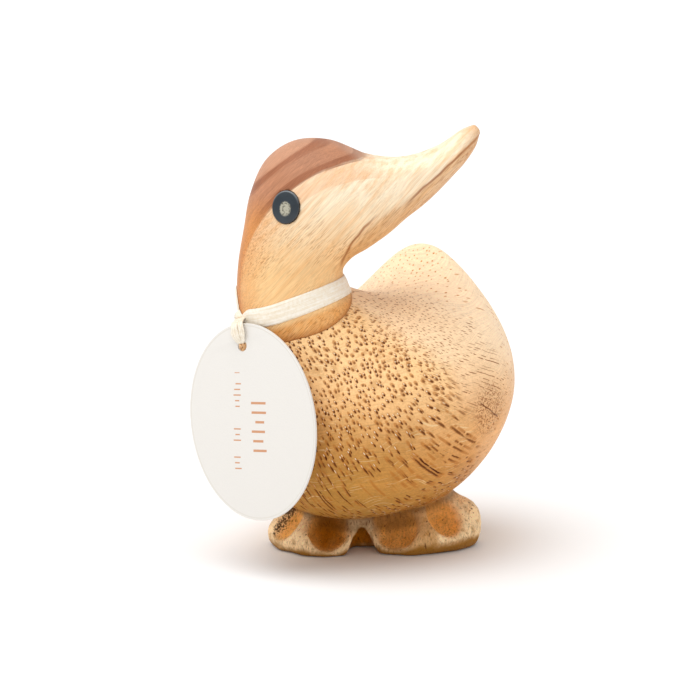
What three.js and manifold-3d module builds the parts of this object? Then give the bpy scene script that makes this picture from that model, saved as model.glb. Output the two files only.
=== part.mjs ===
// Wooden duck carving: a bamboo-root body with its feet, a pale wood neck and head turned back over
// the left shoulder, two inlaid eyes, a satin ribbon round the neck and an oval name tag on it.
// Millimetres, +Z up. The breast faces -Y, the duck's left is +X, and the origin is on the ground
// in the middle of the feet.

import * as THREE from 'three';
import { mergeVertices } from 'three/addons/utils/BufferGeometryUtils.js';
import Module from 'manifold-3d';

const wasm = await Module();
wasm.setup();

// Clear space between pieces that touch
const FIT_GAP = 0.3;

// The duck's own sides
const RIGHT = -1;
const LEFT = 1;

// Body: a plump belly, a raised shoulder under the neck and a broad upturned tail
const BELLY = { centre: [2.1, -2, 42.7], radii: [41.1, 42.4, 31.3], turn: [17.4, -13.6, -7.7] };
const TAIL = { centre: [-2.3, 25.8, 50.6], radii: [19.3, 8.6, 35.2], turn: [-10.6, -5.4, -3.8] };
const SHOULDER = { centre: [-9.3, -23.2, 64.6], radii: [18.4, 19.4, 15.3], turn: [24.9, -4.4, 0] };
const TAIL_BLEND = 25;
const SHOULDER_BLEND = 14;

// Feet: carved with the body and turned towards its left, in their own frame with +X to the duck's
// left and -Y to the toes
const FEET_TURN = 36;
const FOOT_BLEND = 4.5;
const FOOT_ROOT = { centre: [-1, 4, 8], radii: [27, 16, 11], turn: [0, 0, 0] };
const ANKLES = [{ x: -13, y: 2, z: 8, radius: 8.5 }, { x: 14, y: 2, z: 8, radius: 8.5 }];
const TOES = [
  { ankle: 0, x: -27, y: -3, z: 3.6, radius: 4.6 },
  { ankle: 0, x: -19.5, y: -14, z: 3.4, radius: 4.8 },
  { ankle: 0, x: -9.6, y: -14, z: 3, radius: 4.4 },
  { ankle: 1, x: 4.6, y: -12.8, z: 3, radius: 4.4 },
  { ankle: 1, x: 17, y: -12, z: 4, radius: 5 },
  { ankle: 1, x: 26.4, y: -4, z: 3.4, radius: 5 },
  { ankle: 1, x: 26, y: -1.5, z: 7.8, radius: 6 },
];
const WEBS = [
  { ankle: 0, x: -25, y: -9, z: 3, radius: 4.4 },
  { ankle: 0, x: -14.5, y: -15, z: 2.6, radius: 4.4 },
  { ankle: 1, x: 11, y: -13.6, z: 2.6, radius: 4.6 },
  { ankle: 1, x: 22.6, y: -8.6, z: 4, radius: 5.2 },
];
const HEELS = [
  { ankle: 0, x: -13, y: 17, z: 4, radius: 6 },
  { ankle: 1, x: 14, y: 17, z: 4, radius: 6 },
];
const GOUGES = [
  { centre: [-26, -10, 11.2], radii: [4.6, 10, 5.6], turn: [34, 0, -48] },
  { centre: [-14.5, -14.5, 10.6], radii: [5.8, 9.5, 6.2], turn: [40, 0, -4] },
  { centre: [8.6, -13.6, 10.8], radii: [7, 9.5, 6.6], turn: [40, 0, 4] },
  { centre: [23.4, -9.5, 14.4], radii: [5.8, 7.6, 5.6], turn: [36, 0, 34] },
];
const GOUGE_EDGE = 2;

// Head: outline pairs in its profile plane, first the nape, crown and bill top, then the throat and
// bill underside, with the half width between them. Forward is towards the bill.
const HEAD_TURN = 36;
const NECK_PLACE = { x: -8.9, y: -24.7 };
const HEAD_STATIONS = [
  { back: [-15.6, 60.9], front: [18.4, 67.8], half: 17.2 },
  { back: [-17.3, 70.1], front: [16.4, 75.6], half: 16.9 },
  { back: [-18, 78.4], front: [14, 80.6], half: 16 },
  { back: [-17.5, 87.4], front: [12.8, 85], half: 15.6 },
  { back: [-15.9, 97], front: [15.4, 88.7], half: 16.6 },
  { back: [-13.9, 107.4], front: [20.4, 91.8], half: 17.9 },
  { back: [-9.3, 117.1], front: [26.3, 96], half: 17.7 },
  { back: [-1.5, 122.4], front: [31.2, 100.3], half: 15.8 },
  { back: [8.3, 122.8], front: [36, 104], half: 12.8 },
  { back: [18.4, 118.8], front: [40.3, 108], half: 10.6 },
  { back: [29.1, 117.7], front: [44.5, 112.5], half: 9.6 },
  { back: [39.7, 120.9], front: [48.1, 116.6], half: 8.2 },
  { back: [46.9, 125.7], front: [51, 121.2], half: 5.8 },
  { back: [50, 127], front: [52, 124.4], half: 3.2 },
];
const BILL_TIP = [51.7, 126.2];
const HEAD_ROUNDNESS = 2.15;
const HEAD_RINGS = 34;
const HEAD_SEGMENTS = 28;

// Eyes: oval inlaid discs on the cheeks
const EYE = { radius: 4.1, depth: 2, crown: 0.5, edge: 0.45, stretch: 1.15, proud: 1 };
const EYE_PLACE = { forward: -3.9, height: 106.6 };
const EYE_SEGMENTS = 24;
const CHEEK_SEARCH = { from: 0.2, to: 0.7, step: 0.002, rim: 0.3, turn: 0.01 };
const CHEEK_REACH = { along: 0.01, turn: 0.05 };

// Ribbon round the neck, its knot and the short loop that carries the tag
const RIBBON = { width: 5.4, thickness: 0.7, height: 75.8, tilt: -20, lift: -4.5, reach: 60 };
const KNOT = { forward: -18.6, height: 71, side: 0.5, radii: [1.9, 3.1, 2.2] };
const KNOT_SEGMENTS = 16;
const KNOT_RINGS = 10;
const LOOP = { thickness: 0.8, steps: 36 };
const LOOP_STOPS = [
  { depth: 0.8, rise: 6.6, width: 2.6 },
  { depth: 1.7, rise: 4, width: 3.4 },
  { depth: 1.4, rise: 1.2, width: 2.6 },
  { depth: 0, rise: -0.5, width: 1.8 },
  { depth: -1.4, rise: 1.2, width: 2.2 },
  { depth: -2.2, rise: 4.2, width: 2.6 },
];

// Name tag: an oval card with a punched hole, leaning on the breast
const TAG = { long: 57, wide: 44.4, thickness: 0.8, bevel: 0.12, hole: 1.7, holeInset: 4.6 };
const TAG_CENTRE = [-8.1, -48, 44.1];
const TAG_LEAN = 8.5;
const TAG_SWING = 20;
const TAG_SEGMENTS = 20;

const WOOD_BODY = { color: '#d9a866', roughness: 0.6, metalness: 0 };
const WOOD_HEAD = { color: '#e6bf8c', roughness: 0.5, metalness: 0 };
const EYE_INLAY = { color: '#1d2a33', roughness: 0.35, metalness: 0 };
const SATIN = { color: '#f3e6cc', roughness: 0.45, metalness: 0 };
const CARD = { color: '#f6f2e9', roughness: 0.7, metalness: 0 };

// Boxes that hold the torso and the feet, with the spacing of the grid that finds their surface
const TORSO_BOX = { low: [-52, -54, -2], high: [52, 56, 100], cell: 4.8 };
const FEET_BOX = { low: [-40, -32, -6], high: [40, 32, 26], cell: 2.4 };
const GROUND = { wide: 200, deep: 40 };
const SETTLE_STEPS = 5;
const SLOPE_STEP = 0.05;
const LEAST_SLOPE = 0.1;
const MERGE_REACH = 1e-4;
const TINY = 1e-9;

function turned(degrees) {
  const [x, y, z] = degrees.map(THREE.MathUtils.degToRad);
  return new THREE.Matrix4().makeRotationFromEuler(new THREE.Euler(x, y, z, 'ZYX'));
}

// Distance-like field of an ellipsoid, below zero inside it
function ellipsoid({ centre, radii, turn }) {
  const back = turned(turn).transpose();
  const middle = new THREE.Vector3(...centre);
  const size = new THREE.Vector3(...radii);
  return (point) => {
    const local = point.clone().sub(middle).applyMatrix4(back).divide(size);
    const reach = local.length() + TINY;
    const slope = local.divide(size).length() + TINY;
    return (reach * (reach - 1)) / slope;
  };
}

// Distance-like field of a cone with round ends, from one ball to another
function roundCone(from, to) {
  const start = new THREE.Vector3(from.x, from.y, from.z);
  const axis = new THREE.Vector3(to.x, to.y, to.z).sub(start);
  const length = axis.length();
  axis.normalize();
  return (point) => {
    const offset = point.clone().sub(start);
    const along = THREE.MathUtils.clamp(offset.dot(axis) / length, 0, 1);
    const radius = THREE.MathUtils.lerp(from.radius, to.radius, along);
    return offset.addScaledVector(axis, -along * length).length() - radius;
  };
}

// Smooth union of two fields, rounded over a reach
function blend(a, b, reach) {
  const share = THREE.MathUtils.clamp(0.5 + (0.5 * (b - a)) / reach, 0, 1);
  return THREE.MathUtils.lerp(b, a, share) - reach * share * (1 - share);
}

// Smooth cut of one field out of another
function carve(solid, cutter, edge) {
  return -blend(-solid, cutter, edge);
}

function bodyField() {
  const belly = ellipsoid(BELLY);
  const tail = ellipsoid(TAIL);
  const shoulder = ellipsoid(SHOULDER);
  return (point) =>
    blend(blend(belly(point), tail(point), TAIL_BLEND), shoulder(point), SHOULDER_BLEND);
}

function feetField() {
  const root = ellipsoid(FOOT_ROOT);
  const toes = [...TOES, ...WEBS, ...HEELS].map((toe) => roundCone(ANKLES[toe.ankle], toe));
  const gouges = GOUGES.map(ellipsoid);
  return (point) => {
    let wood = root(point);
    for (const toe of toes) wood = blend(wood, toe(point), FOOT_BLEND);
    for (const gouge of gouges) wood = carve(wood, gouge(point), GOUGE_EDGE);
    return wood;
  };
}

// Closed mesh of the surface where a field is zero: one vertex in each crossed cell of a grid, moved
// onto the surface along the field's slope, and one pair of triangles for each crossed grid edge
function fieldMesh(field, { low, high, cell }) {
  const counts = low.map((start, axis) => Math.ceil((high[axis] - start) / cell) + 1);
  const strides = [1, counts[0], counts[0] * counts[1]];
  const samples = new Float64Array(counts[0] * counts[1] * counts[2]);
  const gridPoint = (i, j, k) =>
    new THREE.Vector3(low[0] + i * cell, low[1] + j * cell, low[2] + k * cell);
  for (let k = 0; k < counts[2]; k += 1) {
    for (let j = 0; j < counts[1]; j += 1) {
      for (let i = 0; i < counts[0]; i += 1) {
        samples[i + j * strides[1] + k * strides[2]] = field(gridPoint(i, j, k));
      }
    }
  }
  const positions = [];
  const cellVertex = new Map();
  for (let k = 0; k < counts[2] - 1; k += 1) {
    for (let j = 0; j < counts[1] - 1; j += 1) {
      for (let i = 0; i < counts[0] - 1; i += 1) {
        const corner = i + j * strides[1] + k * strides[2];
        const crossing = crossedMiddle(samples, strides, corner);
        if (!crossing) continue;
        const vertex = gridPoint(i, j, k).addScaledVector(crossing, cell);
        settle(field, vertex, cell);
        cellVertex.set(corner, positions.length / 3);
        positions.push(vertex.x, vertex.y, vertex.z);
      }
    }
  }
  const triangles = [];
  for (let axis = 0; axis < 3; axis += 1) {
    const sideA = strides[(axis + 1) % 3];
    const sideB = strides[(axis + 2) % 3];
    for (const corner of cellVertex.keys()) {
      const inside = samples[corner] < 0;
      if (inside === samples[corner + strides[axis]] < 0) continue;
      const ring = [corner, corner - sideA, corner - sideA - sideB, corner - sideB];
      const [a, b, c, d] = ring.map((place) => cellVertex.get(place));
      if (inside) triangles.push(a, b, c, a, c, d);
      else triangles.push(a, c, b, a, d, c);
    }
  }
  return indexedGeometry(positions, triangles);
}

// Middle of the crossings on a cell's twelve edges, as a share of the cell, or null where none is
function crossedMiddle(samples, strides, corner) {
  const middle = new THREE.Vector3();
  let found = 0;
  for (let axis = 0; axis < 3; axis += 1) {
    for (let side = 0; side < 4; side += 1) {
      const shift = [0, 0, 0];
      shift[(axis + 1) % 3] = side % 2;
      shift[(axis + 2) % 3] = Math.floor(side / 2);
      const start = corner + shift[0] * strides[0] + shift[1] * strides[1] + shift[2] * strides[2];
      const first = samples[start];
      const last = samples[start + strides[axis]];
      if (first < 0 === last < 0) continue;
      shift[axis] = first / (first - last);
      middle.add(new THREE.Vector3(...shift));
      found += 1;
    }
  }
  return found ? middle.divideScalar(found) : null;
}

function fieldSlope(field, point) {
  const slope = [0, 1, 2].map((axis) => {
    const ahead = point.clone().setComponent(axis, point.getComponent(axis) + SLOPE_STEP);
    const behind = point.clone().setComponent(axis, point.getComponent(axis) - SLOPE_STEP);
    return (field(ahead) - field(behind)) / (2 * SLOPE_STEP);
  });
  return new THREE.Vector3(...slope);
}

// Moves a vertex along the slope onto the surface, unless that takes it out of its cell
function settle(field, vertex, cell) {
  const start = vertex.clone();
  for (let step = 0; step < SETTLE_STEPS; step += 1) {
    const slope = fieldSlope(field, vertex);
    vertex.addScaledVector(slope, -field(vertex) / Math.max(slope.lengthSq(), LEAST_SLOPE));
  }
  if (vertex.distanceTo(start) > cell / 2) vertex.copy(start);
}

function indexedGeometry(positions, triangles) {
  const geometry = new THREE.BufferGeometry();
  geometry.setAttribute('position', new THREE.Float32BufferAttribute(positions, 3));
  geometry.setIndex(triangles);
  return geometry;
}

function solidOf(geometry) {
  const bare = geometry.clone();
  bare.deleteAttribute('normal');
  bare.deleteAttribute('uv');
  const merged = mergeVertices(bare, MERGE_REACH);
  return new wasm.Manifold(new wasm.Mesh({
    numProp: 3,
    vertProperties: new Float32Array(merged.attributes.position.array),
    triVerts: new Uint32Array(merged.index.array),
  }));
}

function geometryOf(solid) {
  const mesh = solid.getMesh();
  return indexedGeometry(Array.from(mesh.vertProperties), Array.from(mesh.triVerts));
}

function headPlace() {
  return new THREE.Matrix4()
    .makeRotationZ(THREE.MathUtils.degToRad(HEAD_TURN))
    .setPosition(NECK_PLACE.x, NECK_PLACE.y, 0);
}

function stationCurve(pick) {
  return new THREE.CatmullRomCurve3(HEAD_STATIONS.map(pick), false, 'centripetal');
}

const BACK_LINE = stationCurve(({ back }) => new THREE.Vector3(back[0], 0, back[1]));
const FRONT_LINE = stationCurve(({ front }) => new THREE.Vector3(front[0], 0, front[1]));
const HALF_LINE = stationCurve(({ half }, index) => new THREE.Vector3(index, half, 0));

// Point of the head's skin in its own frame, with +X towards the bill, after growing it by an offset
function headPoint(along, angle, offset) {
  const back = BACK_LINE.getPoint(along);
  const front = FRONT_LINE.getPoint(along);
  const half = HALF_LINE.getPoint(along).y + offset;
  const across = back.clone().sub(front).multiplyScalar(0.5);
  const reach = across.length();
  across.multiplyScalar((reach + offset) / reach);
  const swell = (value) => Math.sign(value) * Math.abs(value) ** (2 / HEAD_ROUNDNESS);
  return front.add(back).multiplyScalar(0.5)
    .addScaledVector(across, swell(Math.cos(angle)))
    .add(new THREE.Vector3(0, -half * swell(Math.sin(angle)), 0));
}

// Closed loft of the head from the neck's foot to the bill's tip
function headGeometry(offset) {
  const rings = HEAD_RINGS;
  const segments = HEAD_SEGMENTS;
  const positions = [];
  const triangles = [];
  for (let ring = 0; ring < rings; ring += 1) {
    for (let segment = 0; segment < segments; segment += 1) {
      const angle = (2 * Math.PI * segment) / segments;
      positions.push(...headPoint(ring / (rings - 1), angle, offset).toArray());
    }
  }
  const first = BACK_LINE.getPoint(0).add(FRONT_LINE.getPoint(0)).multiplyScalar(0.5);
  const foot = positions.length / 3;
  positions.push(...first.toArray(), BILL_TIP[0] + offset, 0, BILL_TIP[1] + offset);
  for (let segment = 0; segment < segments; segment += 1) {
    const next = (segment + 1) % segments;
    for (let ring = 0; ring < rings - 1; ring += 1) {
      const here = ring * segments;
      triangles.push(here + segment, here + next, here + segments + next);
      triangles.push(here + segment, here + segments + next, here + segments + segment);
    }
    const last = (rings - 1) * segments;
    triangles.push(foot, next, segment, foot + 1, last + segment, last + next);
  }
  return indexedGeometry(positions, triangles).applyMatrix4(headPlace());
}

// Frame on a cheek at a place of the profile, with +Z straight out of the wood
function cheekFrame(side) {
  const { from, to, step, rim, turn } = CHEEK_SEARCH;
  const nearest = { miss: Infinity, along: 0, angle: 0 };
  for (let along = from; along < to; along += step) {
    for (let angle = rim; angle < Math.PI - rim; angle += turn) {
      const point = headPoint(along, angle, 0);
      const miss = Math.hypot(point.x - EYE_PLACE.forward, point.z - EYE_PLACE.height);
      if (miss < nearest.miss) Object.assign(nearest, { miss, along, angle });
    }
  }
  const { along, angle } = nearest;
  const centre = headPoint(along, angle, 0);
  const lengthways = headPoint(along + CHEEK_REACH.along, angle, 0)
    .sub(headPoint(along - CHEEK_REACH.along, angle, 0));
  const around = headPoint(along, angle + CHEEK_REACH.turn, 0)
    .sub(headPoint(along, angle - CHEEK_REACH.turn, 0));
  const out = around.cross(lengthways).normalize();
  if (out.y > 0) out.negate();
  const across = new THREE.Vector3(0, 0, 1).cross(out).normalize();
  const upward = out.clone().cross(across);
  const frame = new THREE.Matrix4().makeBasis(across, upward, out).setPosition(centre);
  if (side === RIGHT) return headPlace().multiply(frame);
  const mirror = new THREE.Matrix4().makeScale(1, -1, 1);
  const flip = new THREE.Matrix4().makeScale(-1, 1, 1);
  return headPlace().multiply(mirror).multiply(frame).multiply(flip);
}

// Slightly domed disc with a rounded rim, oval in height
function eyeGeometry(gap) {
  const radius = EYE.radius + gap;
  const top = EYE.proud + gap;
  const profile = [
    new THREE.Vector2(0, EYE.proud - EYE.depth - gap),
    new THREE.Vector2(radius, EYE.proud - EYE.depth - gap),
    new THREE.Vector2(radius, top - EYE.crown - EYE.edge),
    new THREE.Vector2(radius - EYE.edge, top - EYE.crown),
    new THREE.Vector2(radius / 2, top - EYE.crown / 4),
    new THREE.Vector2(0, top),
  ];
  return new THREE.LatheGeometry(profile, EYE_SEGMENTS)
    .rotateX(Math.PI / 2)
    .scale(1, EYE.stretch, 1);
}

// Neck, head and bill, fitted on the torso, with a pocket for each eye
function makeHead(bodyGap) {
  let head = solidOf(headGeometry(0)).subtract(bodyGap);
  for (const side of [RIGHT, LEFT]) {
    const pocket = eyeGeometry(FIT_GAP).applyMatrix4(cheekFrame(side));
    head = head.subtract(solidOf(pocket));
  }
  return piece('head', geometryOf(head), WOOD_HEAD);
}

function makeEye(name, side) {
  return piece(name, eyeGeometry(0).applyMatrix4(cheekFrame(side)), EYE_INLAY);
}

// Level block tilted like the ribbon, of which the band is the part that wraps the neck
function ribbonSlab() {
  return new THREE.BoxGeometry(RIBBON.reach, RIBBON.reach, RIBBON.width)
    .rotateY(THREE.MathUtils.degToRad(RIBBON.tilt))
    .rotateX(THREE.MathUtils.degToRad(RIBBON.lift))
    .translate(0, 0, RIBBON.height)
    .applyMatrix4(headPlace());
}

function ribbonBand() {
  const outer = solidOf(headGeometry(FIT_GAP + RIBBON.thickness));
  const inner = solidOf(headGeometry(FIT_GAP));
  return outer.subtract(inner).intersect(solidOf(ribbonSlab()));
}

function knotCentre() {
  return new THREE.Vector3(KNOT.forward, -KNOT.side, KNOT.height).applyMatrix4(headPlace());
}

function ribbonKnot() {
  return new THREE.SphereGeometry(1, KNOT_SEGMENTS, KNOT_RINGS)
    .scale(...KNOT.radii)
    .rotateZ(THREE.MathUtils.degToRad(HEAD_TURN))
    .translate(...knotCentre().toArray());
}

function tagPlace() {
  return new THREE.Matrix4()
    .makeRotationX(THREE.MathUtils.degToRad(90 - TAG_LEAN))
    .multiply(new THREE.Matrix4().makeRotationZ(THREE.MathUtils.degToRad(TAG_SWING)))
    .setPosition(...TAG_CENTRE);
}

function tagHoleHeight() {
  return TAG.long / 2 - TAG.holeInset;
}

function tagGeometry() {
  const outline = new THREE.Shape()
    .absellipse(0, 0, TAG.wide / 2 - TAG.bevel, TAG.long / 2 - TAG.bevel, 0, 2 * Math.PI);
  outline.holes.push(new THREE.Path()
    .absarc(0, tagHoleHeight(), TAG.hole + TAG.bevel, 0, 2 * Math.PI, true));
  return new THREE.ExtrudeGeometry(outline, {
    depth: TAG.thickness - 2 * TAG.bevel,
    bevelThickness: TAG.bevel,
    bevelSize: TAG.bevel,
    bevelSegments: 1,
    curveSegments: TAG_SEGMENTS,
  }).translate(0, 0, TAG.bevel - TAG.thickness / 2);
}

// Closed strap along a path, its width lying along one direction
function strapGeometry(path, widthAt, widthDirection, thickness, steps) {
  const positions = [];
  const triangles = [];
  for (let step = 0; step < steps; step += 1) {
    const along = step / steps;
    const centre = path.getPoint(along);
    const tangent = path.getTangent(along);
    const outward = tangent.clone().cross(widthDirection).normalize();
    const side = outward.clone().cross(tangent);
    const corners = [[-1, -1], [1, -1], [1, 1], [-1, 1]];
    for (const [sideways, upward] of corners) {
      positions.push(...centre.clone()
        .addScaledVector(side, (sideways * widthAt(along)) / 2)
        .addScaledVector(outward, (upward * thickness) / 2)
        .toArray());
    }
    const here = step * 4;
    const next = ((step + 1) % steps) * 4;
    for (let corner = 0; corner < 4; corner += 1) {
      const after = (corner + 1) % 4;
      triangles.push(here + corner, here + after, next + after);
      triangles.push(here + corner, next + after, next + corner);
    }
  }
  return indexedGeometry(positions, triangles);
}

// Loop of ribbon from the knot over the card's top edge, through its hole and back up behind it
function ribbonLoop() {
  const place = tagPlace();
  const stops = LOOP_STOPS.map(({ depth, rise }) =>
    new THREE.Vector3(0, tagHoleHeight() + rise, depth).applyMatrix4(place));
  const path = new THREE.CatmullRomCurve3([knotCentre(), ...stops], true, 'centripetal');
  const widths = [LOOP_STOPS[0], ...LOOP_STOPS].map(({ width }) => new THREE.Vector3(width, 0, 0));
  const widthCurve = new THREE.CatmullRomCurve3(widths, true, 'centripetal');
  const across = new THREE.Vector3(1, 0, 0).transformDirection(place);
  const widthAt = (along) => widthCurve.getPoint(along).x;
  return strapGeometry(path, widthAt, across, LOOP.thickness, LOOP.steps);
}

function makeRibbon(bodyGap) {
  const neckGap = solidOf(headGeometry(FIT_GAP));
  const tied = solidOf(ribbonKnot()).add(solidOf(ribbonLoop())).subtract(neckGap);
  return piece('ribbon', geometryOf(ribbonBand().add(tied).subtract(bodyGap)), SATIN);
}

function makeTag() {
  return piece('name_tag', tagGeometry().applyMatrix4(tagPlace()), CARD);
}

function torsoGeometry(gap) {
  const field = bodyField();
  return fieldMesh((point) => field(point) - gap, TORSO_BOX);
}

// Torso and feet as one carved piece, cut flat where the feet stand
function makeBody() {
  const torso = solidOf(torsoGeometry(0));
  const feet = fieldMesh(feetField(), FEET_BOX).rotateZ(THREE.MathUtils.degToRad(FEET_TURN));
  const below = new THREE.BoxGeometry(GROUND.wide, GROUND.wide, GROUND.deep)
    .translate(0, 0, -GROUND.deep / 2);
  return piece('body', geometryOf(torso.add(solidOf(feet)).subtract(solidOf(below))), WOOD_BODY);
}

function piece(name, geometry, look) {
  const flat = geometry.index ? geometry.toNonIndexed() : geometry;
  flat.computeVertexNormals();
  const mesh = new THREE.Mesh(flat, new THREE.MeshStandardMaterial(look));
  mesh.name = name;
  return mesh;
}

const duck = new THREE.Group();
duck.name = 'duck_carving';
const bodyGap = solidOf(torsoGeometry(FIT_GAP));
duck.add(makeBody());
duck.add(makeHead(bodyGap));
duck.add(makeEye('eye_right', RIGHT));
duck.add(makeEye('eye_left', LEFT));
duck.add(makeRibbon(bodyGap));
duck.add(makeTag());

export default duck;
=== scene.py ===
"""Wooden duck carving: the finished surfaces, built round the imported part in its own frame.

Sizes are millimetres until a mesh is made; +Z is up, the breast faces -Y and the duck's left is +X.
"""

import math

import bmesh
import bpy
import numpy as np
from mathutils import Matrix, Vector
from mathutils.bvhtree import BVHTree


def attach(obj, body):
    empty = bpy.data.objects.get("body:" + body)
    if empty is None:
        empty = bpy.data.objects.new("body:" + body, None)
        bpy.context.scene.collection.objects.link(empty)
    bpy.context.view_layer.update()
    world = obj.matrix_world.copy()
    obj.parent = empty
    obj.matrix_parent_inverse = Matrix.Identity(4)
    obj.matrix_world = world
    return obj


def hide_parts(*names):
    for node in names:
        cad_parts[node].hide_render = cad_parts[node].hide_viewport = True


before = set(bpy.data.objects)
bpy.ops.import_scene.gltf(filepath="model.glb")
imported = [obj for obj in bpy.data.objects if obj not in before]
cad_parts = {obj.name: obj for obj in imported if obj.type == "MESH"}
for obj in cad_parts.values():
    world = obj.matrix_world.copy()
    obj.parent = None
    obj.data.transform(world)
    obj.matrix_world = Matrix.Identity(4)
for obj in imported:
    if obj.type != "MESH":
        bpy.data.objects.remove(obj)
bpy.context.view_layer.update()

MM = 0.001
TINY = 1e-9
BISECTIONS = 30
MERGE_REACH = 0.001
KEEP_REACH = 4
SHARP_ANGLE = 40
UP = np.array([0.0, 0.0, 1.0])

# Detail of a noise, from one smooth layer to several
FLAT = 0.0
SMOOTH = 1.0
PLAIN = 2.0
ROUGH = 3.0
ROUGHEST = 4.0

# Body: a plump belly, a raised shoulder under the neck and a broad upturned tail
BELLY = {"centre": (2.1, -2, 42.7), "radii": (41.1, 42.4, 31.3), "turn": (17.4, -13.6, -7.7)}
TAIL = {"centre": (-2.3, 25.8, 50.6), "radii": (19.3, 8.6, 35.2), "turn": (-10.6, -5.4, -3.8)}
SHOULDER = {"centre": (-9.3, -23.2, 64.6), "radii": (18.4, 19.4, 15.3), "turn": (24.9, -4.4, 0)}
TAIL_BLEND = 25
SHOULDER_BLEND = 14

# Feet: in their own frame, turned to the duck's left, with the toes towards -Y
FEET_TURN = 36
FOOT_BLEND = 4.5
FOOT_ROOT = {"centre": (-1, 4, 8), "radii": (27, 16, 11), "turn": (0, 0, 0)}
ANKLES = ({"at": (-13, 2, 8), "radius": 8.5}, {"at": (14, 2, 8), "radius": 8.5})
TOES = (
    {"ankle": 0, "at": (-27, -3, 3.6), "radius": 4.6},
    {"ankle": 0, "at": (-19.5, -14, 3.4), "radius": 4.8},
    {"ankle": 0, "at": (-9.6, -14, 3), "radius": 4.4},
    {"ankle": 1, "at": (4.6, -12.8, 3), "radius": 4.4},
    {"ankle": 1, "at": (17, -12, 4), "radius": 5},
    {"ankle": 1, "at": (26.4, -4, 3.4), "radius": 5},
    {"ankle": 1, "at": (26, -1.5, 7.8), "radius": 6},
)
WEBS = (
    {"ankle": 0, "at": (-25, -9, 3), "radius": 4.4},
    {"ankle": 0, "at": (-14.5, -15, 2.6), "radius": 4.4},
    {"ankle": 1, "at": (11, -13.6, 2.6), "radius": 4.6},
    {"ankle": 1, "at": (22.6, -8.6, 4), "radius": 5.2},
)
HEELS = (
    {"ankle": 0, "at": (-13, 17, 4), "radius": 6},
    {"ankle": 1, "at": (14, 17, 4), "radius": 6},
)
# A gouge's dark is how fast painted shade darkens it with depth; the two upright ones meet as the notch
# between the feet
GOUGES = (
    {"centre": (-27.6, -11.4, 9.8), "radii": (5.2, 10, 5.8), "turn": (34, 0, -48), "dark": 0.2},
    {"centre": (-13.2, -16, 9.6), "radii": (6.6, 9.5, 6.6), "turn": (40, 0, -4), "dark": 0.95},
    {"centre": (-5.7, -14.4, -1.6), "radii": (2.7, 7.4, 10.6), "turn": (14, 17, -6), "dark": 5.0},
    {"centre": (-1.3, -14.4, -1.6), "radii": (2.7, 7.4, 10.6), "turn": (14, -17, -6), "dark": 5.0},
    {"centre": (6.0, -15.2, 9.6), "radii": (7.6, 9.5, 6.9), "turn": (40, 0, 4), "dark": 0.5},
    {"centre": (21.7, -12.0, 11.6), "radii": (5.9, 8.6, 5.9), "turn": (36, 0, 30), "dark": 0.5},
)
GOUGE_EDGE = 0.8
FEET_TOP = 27
CREASE = 0.9
SOLE_EDGE = 0.9
FOOT_MARK = 1.6
GOUGE_MARK = 1.6
SCOOP_RIM = 2.2
# Reach of the painted shade in the crease where the feet meet the belly
CREASE_SHADE_MARK = 5.0
WAVE_SIZE = 16
WAVE_HEIGHT = 0.5
TOOL_MARK_SIZE = 3.2
TOOL_MARK_DETAIL = 1.5
TOOL_MARK_HEIGHT = 0.7
SOLE_KEEP = 2.5
BODY_BOX = {"low": (-42.3, -47.3, -1.25), "high": (47, 47, 90), "cell": 0.7}
SETTLE_STEPS = 3
SLOPE_STEP = 0.02
LEAST_SLOPE = 0.1

# Head: outline pairs in its profile plane, first nape, crown and bill top, then throat and bill
# underside, with the half width between them. Forward is towards the bill.
HEAD_TURN = 36
NECK_PLACE = (-8.9, -24.7, 0)
HEAD_STATIONS = (
    {"back": (-15.6, 60.9), "front": (18.4, 67.8), "half": 17.2},
    {"back": (-17.3, 70.1), "front": (16.4, 75.6), "half": 16.9},
    {"back": (-18, 78.4), "front": (14, 80.6), "half": 16},
    {"back": (-17.5, 87.4), "front": (12.8, 85), "half": 15.6},
    {"back": (-15.9, 97), "front": (15.4, 88.7), "half": 16.6},
    {"back": (-13.9, 107.4), "front": (20.4, 91.8), "half": 17.9},
    {"back": (-9.3, 117.1), "front": (26.3, 96), "half": 17.7},
    {"back": (-1.5, 122.4), "front": (31.2, 100.3), "half": 15.8},
    {"back": (8.3, 122.8), "front": (36, 104), "half": 12.8},
    {"back": (18.4, 118.8), "front": (40.3, 108), "half": 10.6},
    {"back": (29.1, 117.7), "front": (44.5, 112.5), "half": 9.6},
    {"back": (39.7, 120.9), "front": (48.1, 116.6), "half": 8.2},
    {"back": (46.9, 125.7), "front": (51, 121.2), "half": 5.8},
    {"back": (50, 127), "front": (52, 124.4), "half": 3.2},
)
HEAD_ROUNDNESS = 2.15
HEAD_RINGS = 220
HEAD_SEGMENTS = 128
BILL_END = {"reach": 0.8, "rings": 6}
SEAM = {"gap": 0.12, "rim": 0.3, "rise": 0.004, "rings": 10, "search": 0.4}

# Eyes: oval inlaid discs on the cheeks
EYE = {"radius": 4.1, "depth": 2, "crown": 0.5, "edge": 0.45, "stretch": 1.15, "proud": 1}
EYE_PLACE = {"forward": -3.3, "height": 105.6}
EYE_FIT = 0.12
EYE_SEGMENTS = 72
EYE_RINGS = 14
EDGE_RINGS = 6
CHEEK_ALONG = (0.2, 0.7)
CHEEK_RIM = 0.3
CHEEK_STEPS = (400, 400)
CHEEK_REACH = {"along": 0.01, "turn": 0.05}
RIGHT = -1
LEFT = 1

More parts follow.
